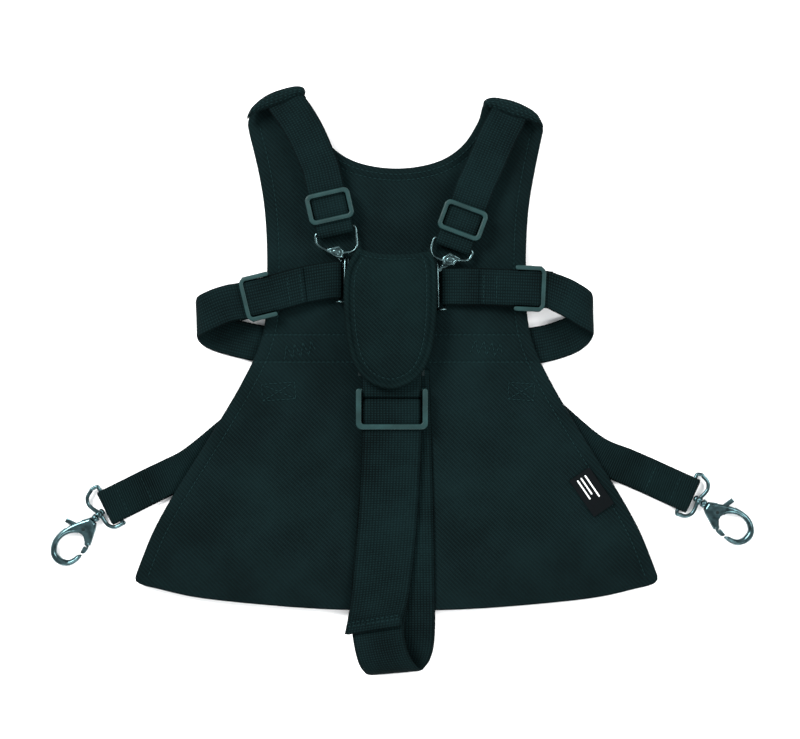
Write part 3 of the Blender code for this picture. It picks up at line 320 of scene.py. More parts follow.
def evenly(points, spacing, cyclic=False):
    """The same line with its points at even distances."""
    given = [Vector(p) for p in points]
    if cyclic:
        given.append(given[0].copy())
    lengths = [0.0]
    for a, b in zip(given, given[1:]):
        lengths.append(lengths[-1] + (b - a).length)
    count = max(2, round(lengths[-1] / spacing))
    line, span = [], 0
    for i in range(count + (0 if cyclic else 1)):
        want = lengths[-1] * i / count
        while span < len(lengths) - 2 and lengths[span + 1] < want:
            span += 1
        share = (want - lengths[span]) / max(lengths[span + 1] - lengths[span], 1e-9)
        line.append(given[span].lerp(given[span + 1], min(share, 1.0)))
    return line


def distances(points, line, cyclic=False):
    """Distance from each of an array of points to a line, in the plane."""
    ends = np.array([tuple(p[:2]) for p in line])
    starts, stops = (ends, np.roll(ends, -1, 0)) if cyclic else (ends[:-1], ends[1:])
    best = np.full(len(points), 1e9)
    for a, b in zip(starts, stops):
        along = b - a
        share = np.clip(((points - a) @ along) / max(along @ along, 1e-12), 0, 1)
        best = np.minimum(best, np.hypot(*(points - a - share[:, None] * along).T))
    return best


def inside(points, loop):
    """True for each point inside a closed loop."""
    ends = np.array([tuple(p[:2]) for p in loop])
    found = np.zeros(len(points), bool)
    x, y = points.T
    for (ax, ay), (bx, by) in zip(ends, np.roll(ends, -1, 0)):
        if ay != by:
            crosses = (ay > y) != (by > y)
            found ^= crosses & (x < (bx - ax) * (y - ay) / (by - ay) + ax)
    return found


# ---- Materials ------------------------------------------------------------------------------

class Nodes:
    """A material's node tree with short ways to add and link nodes."""

    def __init__(self, name):
        self.material = bpy.data.materials.new(name)
        self.material.use_nodes = True
        self.tree = self.material.node_tree
        self.shader = self.tree.nodes["Principled BSDF"]

    def add(self, kind, **values):
        node = self.tree.nodes.new(kind)
        for key, value in values.items():
            if key in node.inputs:
                node.inputs[key].default_value = value
            else:
                setattr(node, key, value)
        return node

    def link(self, start, end):
        self.tree.links.new(start, end)

    def set(self, **values):
        for key, value in values.items():
            self.shader.inputs[key.replace("_", " ")].default_value = value

    def math(self, operation, a, b):
        node = self.add("ShaderNodeMath", operation=operation)
        for socket, value in zip(node.inputs, (a, b)):
            if isinstance(value, (int, float)):
                socket.default_value = value
            else:
                self.link(value, socket)
        return node.outputs[0]

    def ramp(self, factor, low, high, start=0.0, end=1.0):
        node = self.add("ShaderNodeValToRGB")
        first, last = node.color_ramp.elements
        first.position, first.color = start, (*low, 1)
        last.position, last.color = end, (*high, 1)
        self.link(factor, node.inputs[0])
        return node.outputs[0]

    def bump(self, height, distance, strength=1.0, under=None):
        node = self.add("ShaderNodeBump", Distance=distance, Strength=strength)
        self.link(height, node.inputs["Height"])
        if under:
            self.link(under, node.inputs["Normal"])
        return node.outputs[0]

    def waves(self, coordinates, pitch, turn, distortion=0.0):
        """Even bands, pitch metres apart, turned by some degrees in the plane of the coordinates."""
        place = self.add("ShaderNodeMapping")
        place.inputs["Rotation"].default_value = (0, 0, math.radians(turn))
        self.link(coordinates, place.inputs["Vector"])
        wave = self.add("ShaderNodeTexWave", wave_type="BANDS", bands_direction="X")
        wave.inputs["Scale"].default_value = 2 * math.pi / 20 / pitch
        wave.inputs["Distortion"].default_value = distortion
        self.link(place.outputs[0], wave.inputs["Vector"])
        return wave.outputs["Fac"]

    def noise(self, coordinates, size, detail=2.0):
        node = self.add("ShaderNodeTexNoise", Scale=1 / size, Detail=detail)
        self.link(coordinates, node.inputs["Vector"])
        return node.outputs["Fac"]


def shaded(colour, amount):
    return tuple(channel * amount for channel in colour)


def cloth_material(name, colour, layers, coordinates="Object", contrast=0.35, relief=0.00012):
    """Woven cloth. layers lists (pitch in metres, turn in degrees) of its thread directions."""
    nodes = Nodes(name)
    place = nodes.add("ShaderNodeTexCoord").outputs[coordinates]
    solid = nodes.add("ShaderNodeTexCoord").outputs["Object"]
    weave = None
    for pitch, turn in layers:
        wave = nodes.waves(place, pitch, turn)
        weave = wave if weave is None else nodes.math("MULTIPLY", weave, wave)
    fibre = nodes.noise(solid, 0.0007, 3.0)
    # Painted shade: wide patches of darker and lighter tone, 35 mm across, stand in for the shading of low
    # folds in the cloth.
    fold_shade_patches = nodes.noise(solid, 0.035, 3.0)
    mixed = nodes.math("ADD", nodes.math("MULTIPLY", weave, 0.5), nodes.math("MULTIPLY", fibre, 0.5))
    mixed = nodes.math("ADD", nodes.math("MULTIPLY", mixed, 0.6), nodes.math("MULTIPLY", fold_shade_patches, 0.4))
    tint = nodes.ramp(mixed, shaded(colour, 1 - contrast), shaded(colour, 1 + contrast), 0.28, 0.62)
    nodes.link(tint, nodes.shader.inputs["Base Color"])
    rough = nodes.math("ADD", nodes.math("MULTIPLY", fibre, 0.15), 0.80)
    nodes.link(rough, nodes.shader.inputs["Roughness"])
    coarse = nodes.bump(weave, relief, 0.8)
    nodes.link(nodes.bump(fibre, relief, 0.5, coarse), nodes.shader.inputs["Normal"])
    nodes.set(Specular_IOR_Level=0.03, Sheen_Weight=0.0)
    return nodes.material


def plastic_material(name, colour, roughness):
    nodes = Nodes(name)
    place = nodes.add("ShaderNodeTexCoord").outputs["Object"]
    grain = nodes.noise(place, 0.0006, 3.0)
    wear = nodes.noise(place, 0.012, 4.0)
    tint = nodes.ramp(wear, shaded(colour, 0.75), shaded(colour, 1.3), 0.3, 0.7)
    nodes.link(tint, nodes.shader.inputs["Base Color"])
    rough = nodes.math("ADD", nodes.math("MULTIPLY", grain, 0.22), roughness - 0.1)
    nodes.link(rough, nodes.shader.inputs["Roughness"])
    nodes.link(nodes.bump(grain, 0.00003, 0.5), nodes.shader.inputs["Normal"])
    nodes.set(Specular_IOR_Level=0.15)
    return nodes.material


def metal_material(name, colour, roughness):
    nodes = Nodes(name)
    place = nodes.add("ShaderNodeTexCoord").outputs["Object"]
    # Painted highlights: streaks of noise, 4 mm across, make the base colour lighter and darker to stand in
    # for broken highlights and dark reflections; the same noise also varies the roughness.
    glint_and_roughness_streaks = nodes.noise(place, 0.004, 4.0)
    grain = nodes.noise(place, 0.0005, 2.0)
    # Painted highlights and painted dark reflections in the base colour.
    tint = nodes.ramp(glint_and_roughness_streaks, shaded(colour, 0.6), shaded(colour, 1.7), 0.35, 0.65)
    nodes.link(tint, nodes.shader.inputs["Base Color"])
    rough = nodes.math("ADD", nodes.math("MULTIPLY", glint_and_roughness_streaks, 0.12), roughness - 0.06)
    nodes.link(rough, nodes.shader.inputs["Roughness"])
    nodes.link(nodes.bump(grain, 0.00001, 0.3), nodes.shader.inputs["Normal"])
    nodes.set(Metallic=1.0)
    return nodes.material


def plain_material(name, colour, roughness):
    nodes = Nodes(name)
    place = nodes.add("ShaderNodeTexCoord").outputs["Object"]
    tint = nodes.ramp(nodes.noise(place, 0.3), shaded(colour, 0.985), colour, 0.3, 0.7)
    nodes.link(tint, nodes.shader.inputs["Base Color"])
    nodes.set(Roughness=roughness, Specular_IOR_Level=0.1)
    return nodes.material


TWILL_WEAVE = [(0.0011, 45), (0.0022, -45)]
MATERIALS = {
    "twill": cloth_material("twill", (0.0020, 0.0061, 0.0065), TWILL_WEAVE, "Object", 0.55),
    "pad_twill": cloth_material("pad_twill", (0.0017, 0.0058, 0.0060), TWILL_WEAVE, "Object", 0.55),
    "webbing": cloth_material("webbing", (0.0019, 0.0061, 0.0065), [(0.0016, 0), (0.0020, 90)], "UV",
                              0.7, 0.0003),
    "tether": cloth_material("tether", (0.0015, 0.0048, 0.0051), [(0.0015, 4)], "UV", 0.8, 0.0005),
    "thread": cloth_material("thread", (0.0055, 0.0160, 0.0168), [(0.0008, 30)], "Object", 0.3, 0.00005),
    "plastic": plastic_material("plastic", (0.0070, 0.0240, 0.0240), 0.42),
    "inner_plastic": plastic_material("inner_plastic", (0.0026, 0.0080, 0.0083), 0.50),
    "steel": metal_material("steel", (0.055, 0.092, 0.095), 0.24),
    "chrome": metal_material("chrome", (0.042, 0.076, 0.082), 0.22),
    "label": cloth_material("label", (0.0025, 0.0035, 0.0040), [(0.0006, 0)], "Object", 0.2, 0.00004),
    "label_print": plain_material("label_print", (0.60, 0.62, 0.62), 0.7),
    "floor": plain_material("floor", (0.93, 0.93, 0.93), 0.9),
}


# ---- Meshes ---------------------------------------------------------------------------------

def finished(made, material, body, *replaced):
    """Gives an object its material and body, and hides the CAD nodes it stands for."""
    made.data.materials.clear()
    made.data.materials.append(MATERIALS[material])
    if body:
        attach(made, body)
    if replaced:
        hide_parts(*replaced)
    return made


def mesh_object(name, places, faces, smooth=True):
    """An object from places in millimetres."""
    mesh = bpy.data.meshes.new(name)
    mesh.from_pydata([tuple(Vector(p) * MM) for p in places], [], faces)
    mesh.update()
    made = bpy.data.objects.new(name, mesh)
    bpy.context.scene.collection.objects.link(made)
    if smooth:
        mesh.shade_smooth()
    return made


def repaired(mesh, merge=True):
    """Turns the faces outwards, after merging doubled points if asked."""
    form = bmesh.new()
    form.from_mesh(mesh)
    if merge:
        bmesh.ops.remove_doubles(form, verts=form.verts, dist=1e-6)
    bmesh.ops.recalc_face_normals(form, faces=form.faces)
    form.to_mesh(mesh)
    form.free()


def baked(made):
    """The object with its modifiers or curve turned into a mesh in the row frame."""
    bpy.context.view_layer.update()
    graph = bpy.context.evaluated_depsgraph_get()
    mesh = bpy.data.meshes.new_from_object(made.evaluated_get(graph))
    mesh.transform(made.matrix_world)
    name = made.name
    bpy.data.objects.remove(made)
    fresh = bpy.data.objects.new(name, mesh)
    bpy.context.scene.collection.objects.link(fresh)
    repaired(mesh)
    mesh.shade_smooth()
    return fresh


def joined(name, parts):
    """Several meshes as one object."""
    form = bmesh.new()
    for part in parts:
        part.data.transform(part.matrix_world)
        form.from_mesh(part.data)
        bpy.data.objects.remove(part)
    mesh = bpy.data.meshes.new(name)
    form.to_mesh(mesh)
    form.free()
    made = bpy.data.objects.new(name, mesh)
    bpy.context.scene.collection.objects.link(made)
    return made


def plate(name, outlines, levels, bevel):
    """A flat plate with rounded edges, from an outline and the outlines of its holes."""
    curve = bpy.data.curves.new(name, "CURVE")
    curve.dimensions = "2D"
    curve.fill_mode = "BOTH"
    curve.bevel_depth = bevel * MM
    curve.bevel_resolution = 3
    curve.extrude = ((levels[1] - levels[0]) / 2 - bevel) * MM
    curve.offset = -bevel * MM
    for outline in outlines:
        spline = curve.splines.new("POLY")
        spline.points.add(len(outline) - 1)
        for point, place in zip(spline.points, outline):
            point.co = (place[0] * MM, place[1] * MM, 0, 1)
        spline.use_cyclic_u = True
    made = bpy.data.objects.new(name, curve)
    bpy.context.scene.collection.objects.link(made)
    made.location.z = (levels[0] + levels[1]) / 2 * MM
    return baked(made)


def tube(name, points, radius, cyclic=True, sides=3):
    """Round wire along the points, in millimetres."""
    curve = bpy.data.curves.new(name, "CURVE")
    curve.dimensions = "3D"
    curve.bevel_depth = radius * MM
    curve.bevel_resolution = sides
    curve.use_fill_caps = not cyclic
    spline = curve.splines.new("POLY")
    spline.points.add(len(points) - 1)
    for point, place in zip(spline.points, points):
        point.co = (*(Vector(place) * MM), 1)
    spline.use_cyclic_u = cyclic
    made = bpy.data.objects.new(name, curve)
    bpy.context.scene.collection.objects.link(made)
    return baked(made)


def turned(name, profile, steps=32):
    """A turned shape about X from (x, radius) points. The ends lie on the axis, or meet in a ring."""
    places, faces = [], []
    for x, radius in profile:
        for step in range(steps):
            side = unit(360 * step / steps) * radius
            places.append((x, side.x, side.y))
    for row in range(len(profile) - 1):
        for step in range(steps):
            a, b = row * steps + step, row * steps + (step + 1) % steps
            faces.append((a, b, b + steps, a + steps))
    made = mesh_object(name, places, faces)
    repaired(made.data)
    return made


def rounded_box(size, radius, corner_steps=5):
    """The outline of a rectangle with round corners, centred on the origin."""
    half_x, half_y = size[0] / 2 - radius, size[1] / 2 - radius
    outline = []
    for (x, y), start in (((half_x, half_y), 0), ((-half_x, half_y), 90), ((-half_x, -half_y), 180),
                          ((half_x, -half_y), 270)):
        outline += arc((x, y), radius, start, start + 90, corner_steps)
    return outline


def placed(made, place, degrees):
    """The mesh moved to a place, (x, y, z), and turned about Z."""
    move = Matrix.Translation(Vector(place) * MM) @ Matrix.Rotation(math.radians(degrees), 4, "Z")
    made.data.transform(move)
    return made


def pillow(name, loop, spacing, rings, top, bottom, rows=()):
    """A closed flat body: two sheets that share a loop. top and bottom give z from points and depths."""
    loop = evenly(loop, spacing, cyclic=True)
    edge = np.array([tuple(p[:2]) for p in loop])
    low, high = edge.min(0), edge.max(0)
    across = np.arange(low[0], high[0], spacing)
    up = np.arange(low[1], high[1], spacing * 0.87)
    grid = [(x + (spacing / 2 if i % 2 else 0), y) for i, y in enumerate(up) for x in across]
    extra = [(x, y) for y in rows for x in across]
    for depth in rings:
        extra += [tuple(p) for p in ring_inside(loop, depth)]
    inner = np.array(grid)
    inner = inner[inside(inner, loop)]
    inner = inner[distances(inner, loop, cyclic=True) > spacing * 0.6]
    if extra:
        more = np.array(extra)
        more = more[inside(more, loop)]
        far = np.min(np.hypot(inner[:, None, 0] - more[None, :, 0],
                              inner[:, None, 1] - more[None, :, 1]), 1) > spacing * 0.45
        inner = np.vstack([inner[far], more])
    points = [Vector(p) for p in np.vstack([edge, inner])]
    count = len(edge)
    flat, _, faces, origins, _, _ = delaunay_2d_cdt(points, [], [list(range(count))], 1, 1e-5)
    border = {i for i, found in enumerate(origins) if any(k < count for k in found)}
    spots = np.array([tuple(p) for p in flat])
    depths = distances(spots, loop, cyclic=True)
    upper, lower = top(spots, depths), bottom(spots, depths)
    places = [(x, y, z) for (x, y), z in zip(spots, upper)]
    below = {}
    for i, (x, y) in enumerate(spots):
        if i in border:
            below[i] = i
        else:
            below[i] = len(places)
            places.append((x, y, lower[i]))
    every = []
    for a, b, c in faces:
        turn = (flat[b] - flat[a]).cross(flat[c] - flat[a])
        if turn < 0:
            b, c = c, b
        every.append((a, b, c))
        every.append((below[c], below[b], below[a]))
    return mesh_object(name, places, every)


def ring_inside(loop, depth):
    """Points at a depth inside a closed loop, without those that fall nearer another part of it."""
    points = [Vector(p[:2]) for p in loop]
    area = sum(a.x * b.y - b.x * a.y for a, b in zip(points, points[1:] + points[:1]))
    sign = 1 if area > 0 else -1
    moved = []
    for i, point in enumerate(points):
        along = (points[(i + 1) % len(points)] - points[i - 1]).normalized()
        moved.append(point + sign * depth * Vector((-along.y, along.x)))
    keep = distances(np.array([tuple(p) for p in moved]), loop, cyclic=True) > depth * 0.93
    return [p for p, kept in zip(moved, keep) if kept]


def profile_of(width, thick):
    """The closed section of webbing, as (across, up), from its left edge over the top."""
    half, up = width / 2, thick / 2
    upper = []
    for i in range(WEB_SECTION_STEPS + 1):
        share = -1 + 2 * i / WEB_SECTION_STEPS
        near_edge = min(1.0, (1 - abs(share)) * half / WEB_EDGE)
        upper.append((share * half, up * math.sqrt(max(0.0, 1 - (1 - near_edge) ** 2))))
    lower = [(x, -z) for x, z in reversed(upper[1:-1])]
    return upper + lower


def strap(name, stations, width, thick, step=1.6, cyclic=False):
    """Webbing along stations (x, y, z, direction of the width in degrees and, where it narrows, the share
    of its width), with UVs in metres."""
    rows = evenly(smooth_line(stations, 12, cyclic), step, cyclic)
    section = profile_of(width, thick)
    count, around = len(rows), len(section)
    places, lengths = [], [0.0]
    for i, row in enumerate(rows):
        spot = Vector(row[:3])
        if cyclic:
            ahead, behind = Vector(rows[(i + 1) % count][:3]), Vector(rows[i - 1][:3])
        else:
            ahead, behind = Vector(rows[min(i + 1, count - 1)][:3]), Vector(rows[max(i - 1, 0)][:3])
        side = unit(row[3]).to_3d()
        up = side.cross(ahead - behind).normalized()
        share = row[4] if len(row) > 4 else 1.0
        places += [spot + across * share * side + rise * up for across, rise in section]
        if i:
            lengths.append(lengths[-1] + (spot - Vector(rows[i - 1][:3])).length)
    faces = []
    for i in range(count if cyclic else count - 1):
        a, b = i * around, (i + 1) % count * around
        for k in range(around):
            n = (k + 1) % around
            faces.append((a + k, a + n, b + n, b + k))
    if not cyclic:
        faces.append(tuple(range(around - 1, -1, -1)))
        faces.append(tuple(range((count - 1) * around, count * around)))
    made = mesh_object(name, places, faces)
    layer = made.data.uv_layers.new(name="strap")
    for polygon in made.data.polygons:
        for corner in polygon.loop_indices:
            index = made.data.loops[corner].vertex_index
            row, spot = divmod(index, around)
            run = lengths[row]
            if cyclic and row == 0 and any(made.data.loops[k].vertex_index // around == count - 1
                                           for k in polygon.loop_indices):
                run = lengths[-1] + step
            layer.data[corner].uv = (run * MM, section[spot][0] * MM)
    repaired(made.data, merge=False)
    return made


def stitches(name, lines, body, level, radius=STITCH_RADIUS):
    """Rows of thread stitches. level gives z for an (x, y) place, or lines are already in space."""
    places, faces = [], []
    for line in lines:
        points = evenly(line, STITCH_STEP)
        pitch = STITCH_LENGTH + STITCH_GAP
        length = STITCH_STEP * (len(points) - 1)
        for k in range(int(length / pitch)):
            start = k * pitch / STITCH_STEP
            ends = [points[min(int(start + share * STITCH_LENGTH / STITCH_STEP), len(points) - 1)]
                    for share in (0, 0.5, 1)]
            spots = []
            for spot, sunk in zip(ends, (0.9, 0.0, 0.9)):
                z = spot[2] if len(spot) > 2 else level(spot[0], spot[1])
                spots.append(Vector((spot[0], spot[1], z - sunk * radius)))
            along = spots[2] - spots[0]
            if along.length < STITCH_STEP:
                continue
            side = Vector((-along.y, along.x, 0)).normalized()
            base = len(places)
            first, middle, last = spots
            centres = (first, first.lerp(middle, 0.5), middle, middle.lerp(last, 0.5), last)
            for spot, fat in zip(centres, STITCH_SWELL):
                for corner in range(6):
                    out = unit(60 * corner)
                    places.append(spot + radius * fat * (out.x * side + Vector((0, 0, out.y))))
            for row in range(4):
                for corner in range(6):
                    a, b = base + row * 6 + corner, base + row * 6 + (corner + 1) % 6
                    faces.append((a, b, b + 6, a + 6))
            faces.append(tuple(base + i for i in range(5, -1, -1)))
            faces.append(tuple(base + 24 + i for i in range(6)))
    made = mesh_object(name, places, faces)
    return finished(made, "thread", body)


# ---- Vest panel -----------------------------------------------------------------------------

def mirrored(points, side):
    sign = 1 if side == "right" else -1
    return [(sign * x, y) for x, y in points]


def side_edge(side):
    return smooth_line([TAB_SIDE_CORNER[side], *mirrored(SIDE_HALF, side)], 6)


def neck_edge():
    left = [TAB_NECK_CORNER["left"], *reversed(mirrored(NECK_HALF, "left"))]
    return smooth_line([*left, *NECK_HALF[1:], TAB_NECK_CORNER["right"]], 6)


def hem_edge():
    return smooth_line([*HEM_HALF, *reversed(mirrored(HEM_HALF[:-1], "left"))], 6)


def groove(depths, at, width=1.1):
    return np.exp(-((depths - at) / width) ** 2)


SEWN_EDGES = [neck_edge(), side_edge("left"), side_edge("right")]


def sewn_depths(spots):
    return np.min([distances(spots, line) for line in SEWN_EDGES], 0)


def ripples(spots):
    """Low, wide waves of the lying cloth."""
    x, y = spots.T
    wide = np.sin(x / 31 + y / 47 + 0.6) + 0.7 * np.sin(x / 17 - y / 39) + 0.5 * np.sin(y / 21 + x / 70)
    return wide / 2.2


def quarter_round(depths, radius):
    """Rises from 0 at the edge to 1 at that depth, round like a quarter circle."""
    return np.sqrt(np.clip(1 - (1 - np.clip(depths / radius, 0, 1)) ** 2, 0, 1))


def panel_top(spots, depths):
    """Front of the panel: a rounded edge, sewn hems, seams across it and a low crown of padding."""
    sewn = sewn_depths(spots)
    rim = quarter_round(depths, PANEL_RIM)
    level = PANEL_BOTTOM + 1.6 + 1.5 * rim
    level += 0.35 * np.clip((sewn - STITCH_INSET) / 6, 0, 1) + 0.45 * ripples(spots) * np.clip(
        depths / 14, 0, 1)
    level -= 0.75 * groove(sewn, STITCH_INSET)
    for seam in SEAMS_Y:
        level -= 0.7 * groove(spots[:, 1], seam)
    return level


def panel_bottom(spots, depths):
    rim = quarter_round(depths, PANEL_RIM)
    return PANEL_BOTTOM + 1.6 - 1.5 * rim - 0.3 * groove(sewn_depths(spots), STITCH_INSET)


def panel_level(x, y):
    spot = np.array([(x, y)])
    return float(panel_top(spot, sewn_depths(spot))[0]) + 0.5


def make_panel():
    tabs = {side: smooth_line(TAB_EDGE[side], 4) for side in SIDES}
    loop = [*neck_edge(), *tabs["right"], *side_edge("right"), *hem_edge(),
            *reversed(side_edge("left")), *reversed(tabs["left"])]
    rows = [seam + shift for seam in SEAMS_Y for shift in (-1.6, -0.8, 0, 0.8, 1.6)]
    spacing = 2.6
    rings = (0.25, 0.8, 1.8, 6.4, 7.2, 8.0, 8.8, 9.8)
    panel = pillow("vest_panel", loop, spacing, rings, panel_top, panel_bottom, rows)
    finished(panel, "twill", "vest", "panel_front_shell", "panel_padding", "panel_back_lining")

    lines = [offset_line(neck_edge(), -STITCH_INSET), offset_line(neck_edge(), -NECK_INSET),
             offset_line(side_edge("left"), STITCH_INSET),
             offset_line(side_edge("right"), -STITCH_INSET)]
    for seam in SEAMS_Y:
        half = 87 if seam > 0 else 94
        lines.append([(-half, seam), (half, seam)])
    stitches("panel_stitches", lines, "vest", panel_level)
    tacks = [line for box in TACK_BOXES for line in cross_box(*box)]
    tacks += [zigzag(*row) for row in TACK_ZIGZAGS]
    stitches("panel_tacks", tacks, "vest", panel_level, 0.3)


def cross_box(middle, size, degrees):
    """A box of stitches with both its diagonals."""
    half_x, half_y = size[0] / 2, size[1] / 2
    corners = [(-half_x, -half_y), (half_x, -half_y), (half_x, half_y), (-half_x, half_y)]
    turn = Matrix.Rotation(math.radians(degrees), 2)
    corners = [Vector(middle) + turn @ Vector(c) for c in corners]
    return [[corners[0], corners[1], corners[2], corners[3], corners[0]],
            [corners[0], corners[2]], [corners[1], corners[3]]]


def zigzag(middle, size, degrees):
    turn = Matrix.Rotation(math.radians(degrees), 2)
    points = []
    for i in range(9):
        local = Vector((size[0] * (i / 8 - 0.5), size[1] * (0.5 if i % 2 else -0.5)))
        points.append(Vector(middle) + turn @ local)
    return points


def make_facings():
    """The facings and the waist casing on the back, each a thin turned strip."""
    edges = {"neck_facing": (neck_edge(), -1), "left_side_facing": (side_edge("left"), 1),
             "right_side_facing": (side_edge("right"), -1)}
    for node, (edge, inward) in edges.items():
        outer = offset_line(edge, inward * FACING_GAP)
        inner = offset_line(edge, inward * FACING_WIDTH)

        def facing_top(spots, depths):
            return 3.3 + 0.35 * np.clip(depths / 0.8, 0, 1)

        def facing_bottom(spots, depths):
            return 3.3 - 0.35 * np.clip(depths / 0.8, 0, 1)

        strip = pillow(f"{node}_strip", [*outer, *reversed(inner)], 3.0, (0.8,), facing_top, facing_bottom)
        finished(strip, "twill", "vest", node)
    casing = strap("waist_casing_strip", [(x, 0, 0.5, 90) for x in (-88, 0, 88)], CASING_WIDTH, 0.9)
    finished(casing, "twill", "vest", "waist_casing")
    lines = [[(-86, y, 0.02), (86, y, 0.02)] for y in (-CASING_SEAM, CASING_SEAM)]
    stitches("casing_stitches", lines, "vest", None, 0.25)


def make_tab_roll(side):
    """The tab's end rolled forwards over the strap: a fat crescent with rows of stitches along it."""
    far, near = (evenly(smooth_line(line[side], 6), 1.0) for line in (ROLL_FAR, ROLL_NEAR))

    rows = []
    for share in (0.18, 0.38, 0.58, 0.78):
        row = []
        for i in range(33):
            reach = 0.08 + 0.84 * i / 32
            a, b = (line[round(reach * (len(line) - 1))] for line in (near, far))
            bow = share + 0.10 * math.cos(math.pi * (reach - 0.5) * 2) * (0.5 - share)
            row.append(a.lerp(b, bow))
        rows.append(row)

    def roll_top(spots, depths):
        seams = np.min([distances(spots, row) for row in rows], 0)
        return ROLL_LEVEL + ROLL_RISE * quarter_round(depths, ROLL_ROUND) - 0.55 * groove(seams, 0, 0.7)

    def roll_bottom(spots, depths):
        return ROLL_LEVEL - ROLL_DROP * quarter_round(depths, ROLL_ROUND)

    loop = [*far, *reversed(near)]
    roll = pillow(f"{side}_rolled_tab", loop, 1.1, (0.3, 0.8, 1.5, 2.4), roll_top, roll_bottom)
    finished(roll, "twill", "vest", f"{side}_shoulder_tab")

    def level(x, y):
        spot = np.array([(x, y)])
        depth = distances(spot, loop, cyclic=True)
        return float(roll_top(spot, depth)[0]) + 0.15

    stitches(f"{side}_tab_stitches", rows, "vest", level, FINE_STITCH)


# ---- Straps ---------------------------------------------------------------------------------

def shoulder_point(side, distance):
    return Vector(SHOULDER_END[side]) + distance * unit(90 + SHOULDER_LEAN[side])


def make_shoulder_strap(side):
    lean = SHOULDER_LEAN[side]
    middle_z = (SHOULDER_FRONT_Z + SHOULDER_RETURN_Z) / 2
    radius = (SHOULDER_FRONT_Z - SHOULDER_RETURN_Z) / 2
    bar = radius + WEB_THICK / 2
    stations = [(x, y, SHOULDER_FRONT_Z, turn) for x, y, turn in reversed(SHOULDER_RUN[side])]
    for distance in (STRAIGHT_RUN, STRAIGHT_RUN - 4, 24.0, 10.0):
        stations.append((*shoulder_point(side, distance), SHOULDER_FRONT_Z, lean))
    for turn in (90, 45, 0, -45, -90):
        place = shoulder_point(side, bar - radius * math.cos(math.radians(turn)))
        stations.append((*place, middle_z + radius * math.sin(math.radians(turn)), lean))
    for distance in (10.0, 24.0, STRAIGHT_RUN + 2):
        stations.append((*shoulder_point(side, distance), SHOULDER_RETURN_Z, lean))
    web = strap(f"{side}_shoulder_webbing", stations, WEB, WEB_THICK)
    finished(web, "webbing", "vest", f"{side}_shoulder_strap")


def make_shoulder_ring(side):
    middle_z = (SHOULDER_FRONT_Z + SHOULDER_RETURN_Z) / 2
    across = unit(SHOULDER_LEAN[side])

    def at(reach, along):
        return shoulder_point(side, along) + reach * across

    half, along = RING_BAR_HALF, RING_BAR_ALONG
    places = [at(reach, along) for reach in (-half, -half / 2, 0.0, half / 2, half)]
    places += [at(reach, lower) for reach, lower in RING_BEND]
    places += [Vector(place) for place in RING_LOWER[side]]
    places += [at(-reach, lower) for reach, lower in reversed(RING_BEND)]
    points = [(*place, middle_z) for place in places]
    ring = tube(f"{side}_wire_ring", smooth_line(points, 6, cyclic=True), RING_WIRE)
    finished(ring, "steel", "vest", f"{side}_shoulder_ring")


def shrunk(points, share):
    """The outline drawn in towards its middle."""
    middle = sum((Vector(p) for p in points), Vector((0, 0))) / len(points)
    return [middle + share * (Vector(p) - middle) for p in points]


def make_tongue(side):
    """The tongue: a plate in the buckle, an upright rail for the webbing and a hooked head for the ring."""
    sign = -1 if side == "left" else 1
    head = NIB_HEAD[side]
    rim = plate("rim", [head, list(reversed(shrunk(head, 0.66)))], (14.6, 16.4), 0.5)
    crown = plate("crown", [shrunk(head, 0.52)], (13.0, 17.2), 0.8)
    floor = plate("floor", [shrunk(head, 0.9)], (14.2, 15.2), 0.3)
    top, foot = (Vector(p) for p in TONGUE_RAIL[side])
    neck = sum((Vector(p) for p in head), Vector((0, 0))) / len(head)
    bar = TONGUE_BAR[side]
    rods = {
        "rail": ([(top.x, top.y + 2.0, 11.2), (top.x, top.y, 12.2), (foot.x, foot.y + 2.0, 12.0),
                  (foot.x, foot.y, 11.2)], 0.75),
        "inner": ([(top.x - 2.1 * sign, top.y + 2.0, 12.6), (foot.x - 1.4 * sign, foot.y, 11.4)], 0.55),
        "lip": ([(foot.x - sign, foot.y - 0.6, 12.6), (foot.x + 5.4 * sign, foot.y - 0.4, 12.9)], 0.6),
        "post": ([(foot.x + 3 * sign, foot.y - 0.4, 12.4), (bar, foot.y, 10.6), (bar, top.y - 1.0, 10.6),
                  (top.x + 2 * sign, top.y, 10.8)], 0.9),
    }
    rail, inner, lip, post = (tube(name, points, radius, cyclic=False)
                              for name, (points, radius) in rods.items())
    stem = plate("stem", [[(top.x - 1.6 * sign, top.y - 4), (neck.x - 1.8, neck.y - 2),
                           (neck.x + 1.8, neck.y - 2), (top.x + 2.4 * sign, top.y - 4)]], (10.2, 11.4), 0.2)
    shank = plate("shank", [[(CENTRE_X + sign * 7, foot.y + 18), (foot.x, foot.y + 18),
                             (foot.x, foot.y + 5), (CENTRE_X + sign * 7, foot.y + 5)]], (9.9, 11.3), 0.2)
    made = joined(f"{side}_tongue_plate", [rim, crown, floor, rail, inner, stem, lip, shank, post])
    made.data.shade_smooth()
    finished(made, "steel", "vest", f"{side}_tongue")


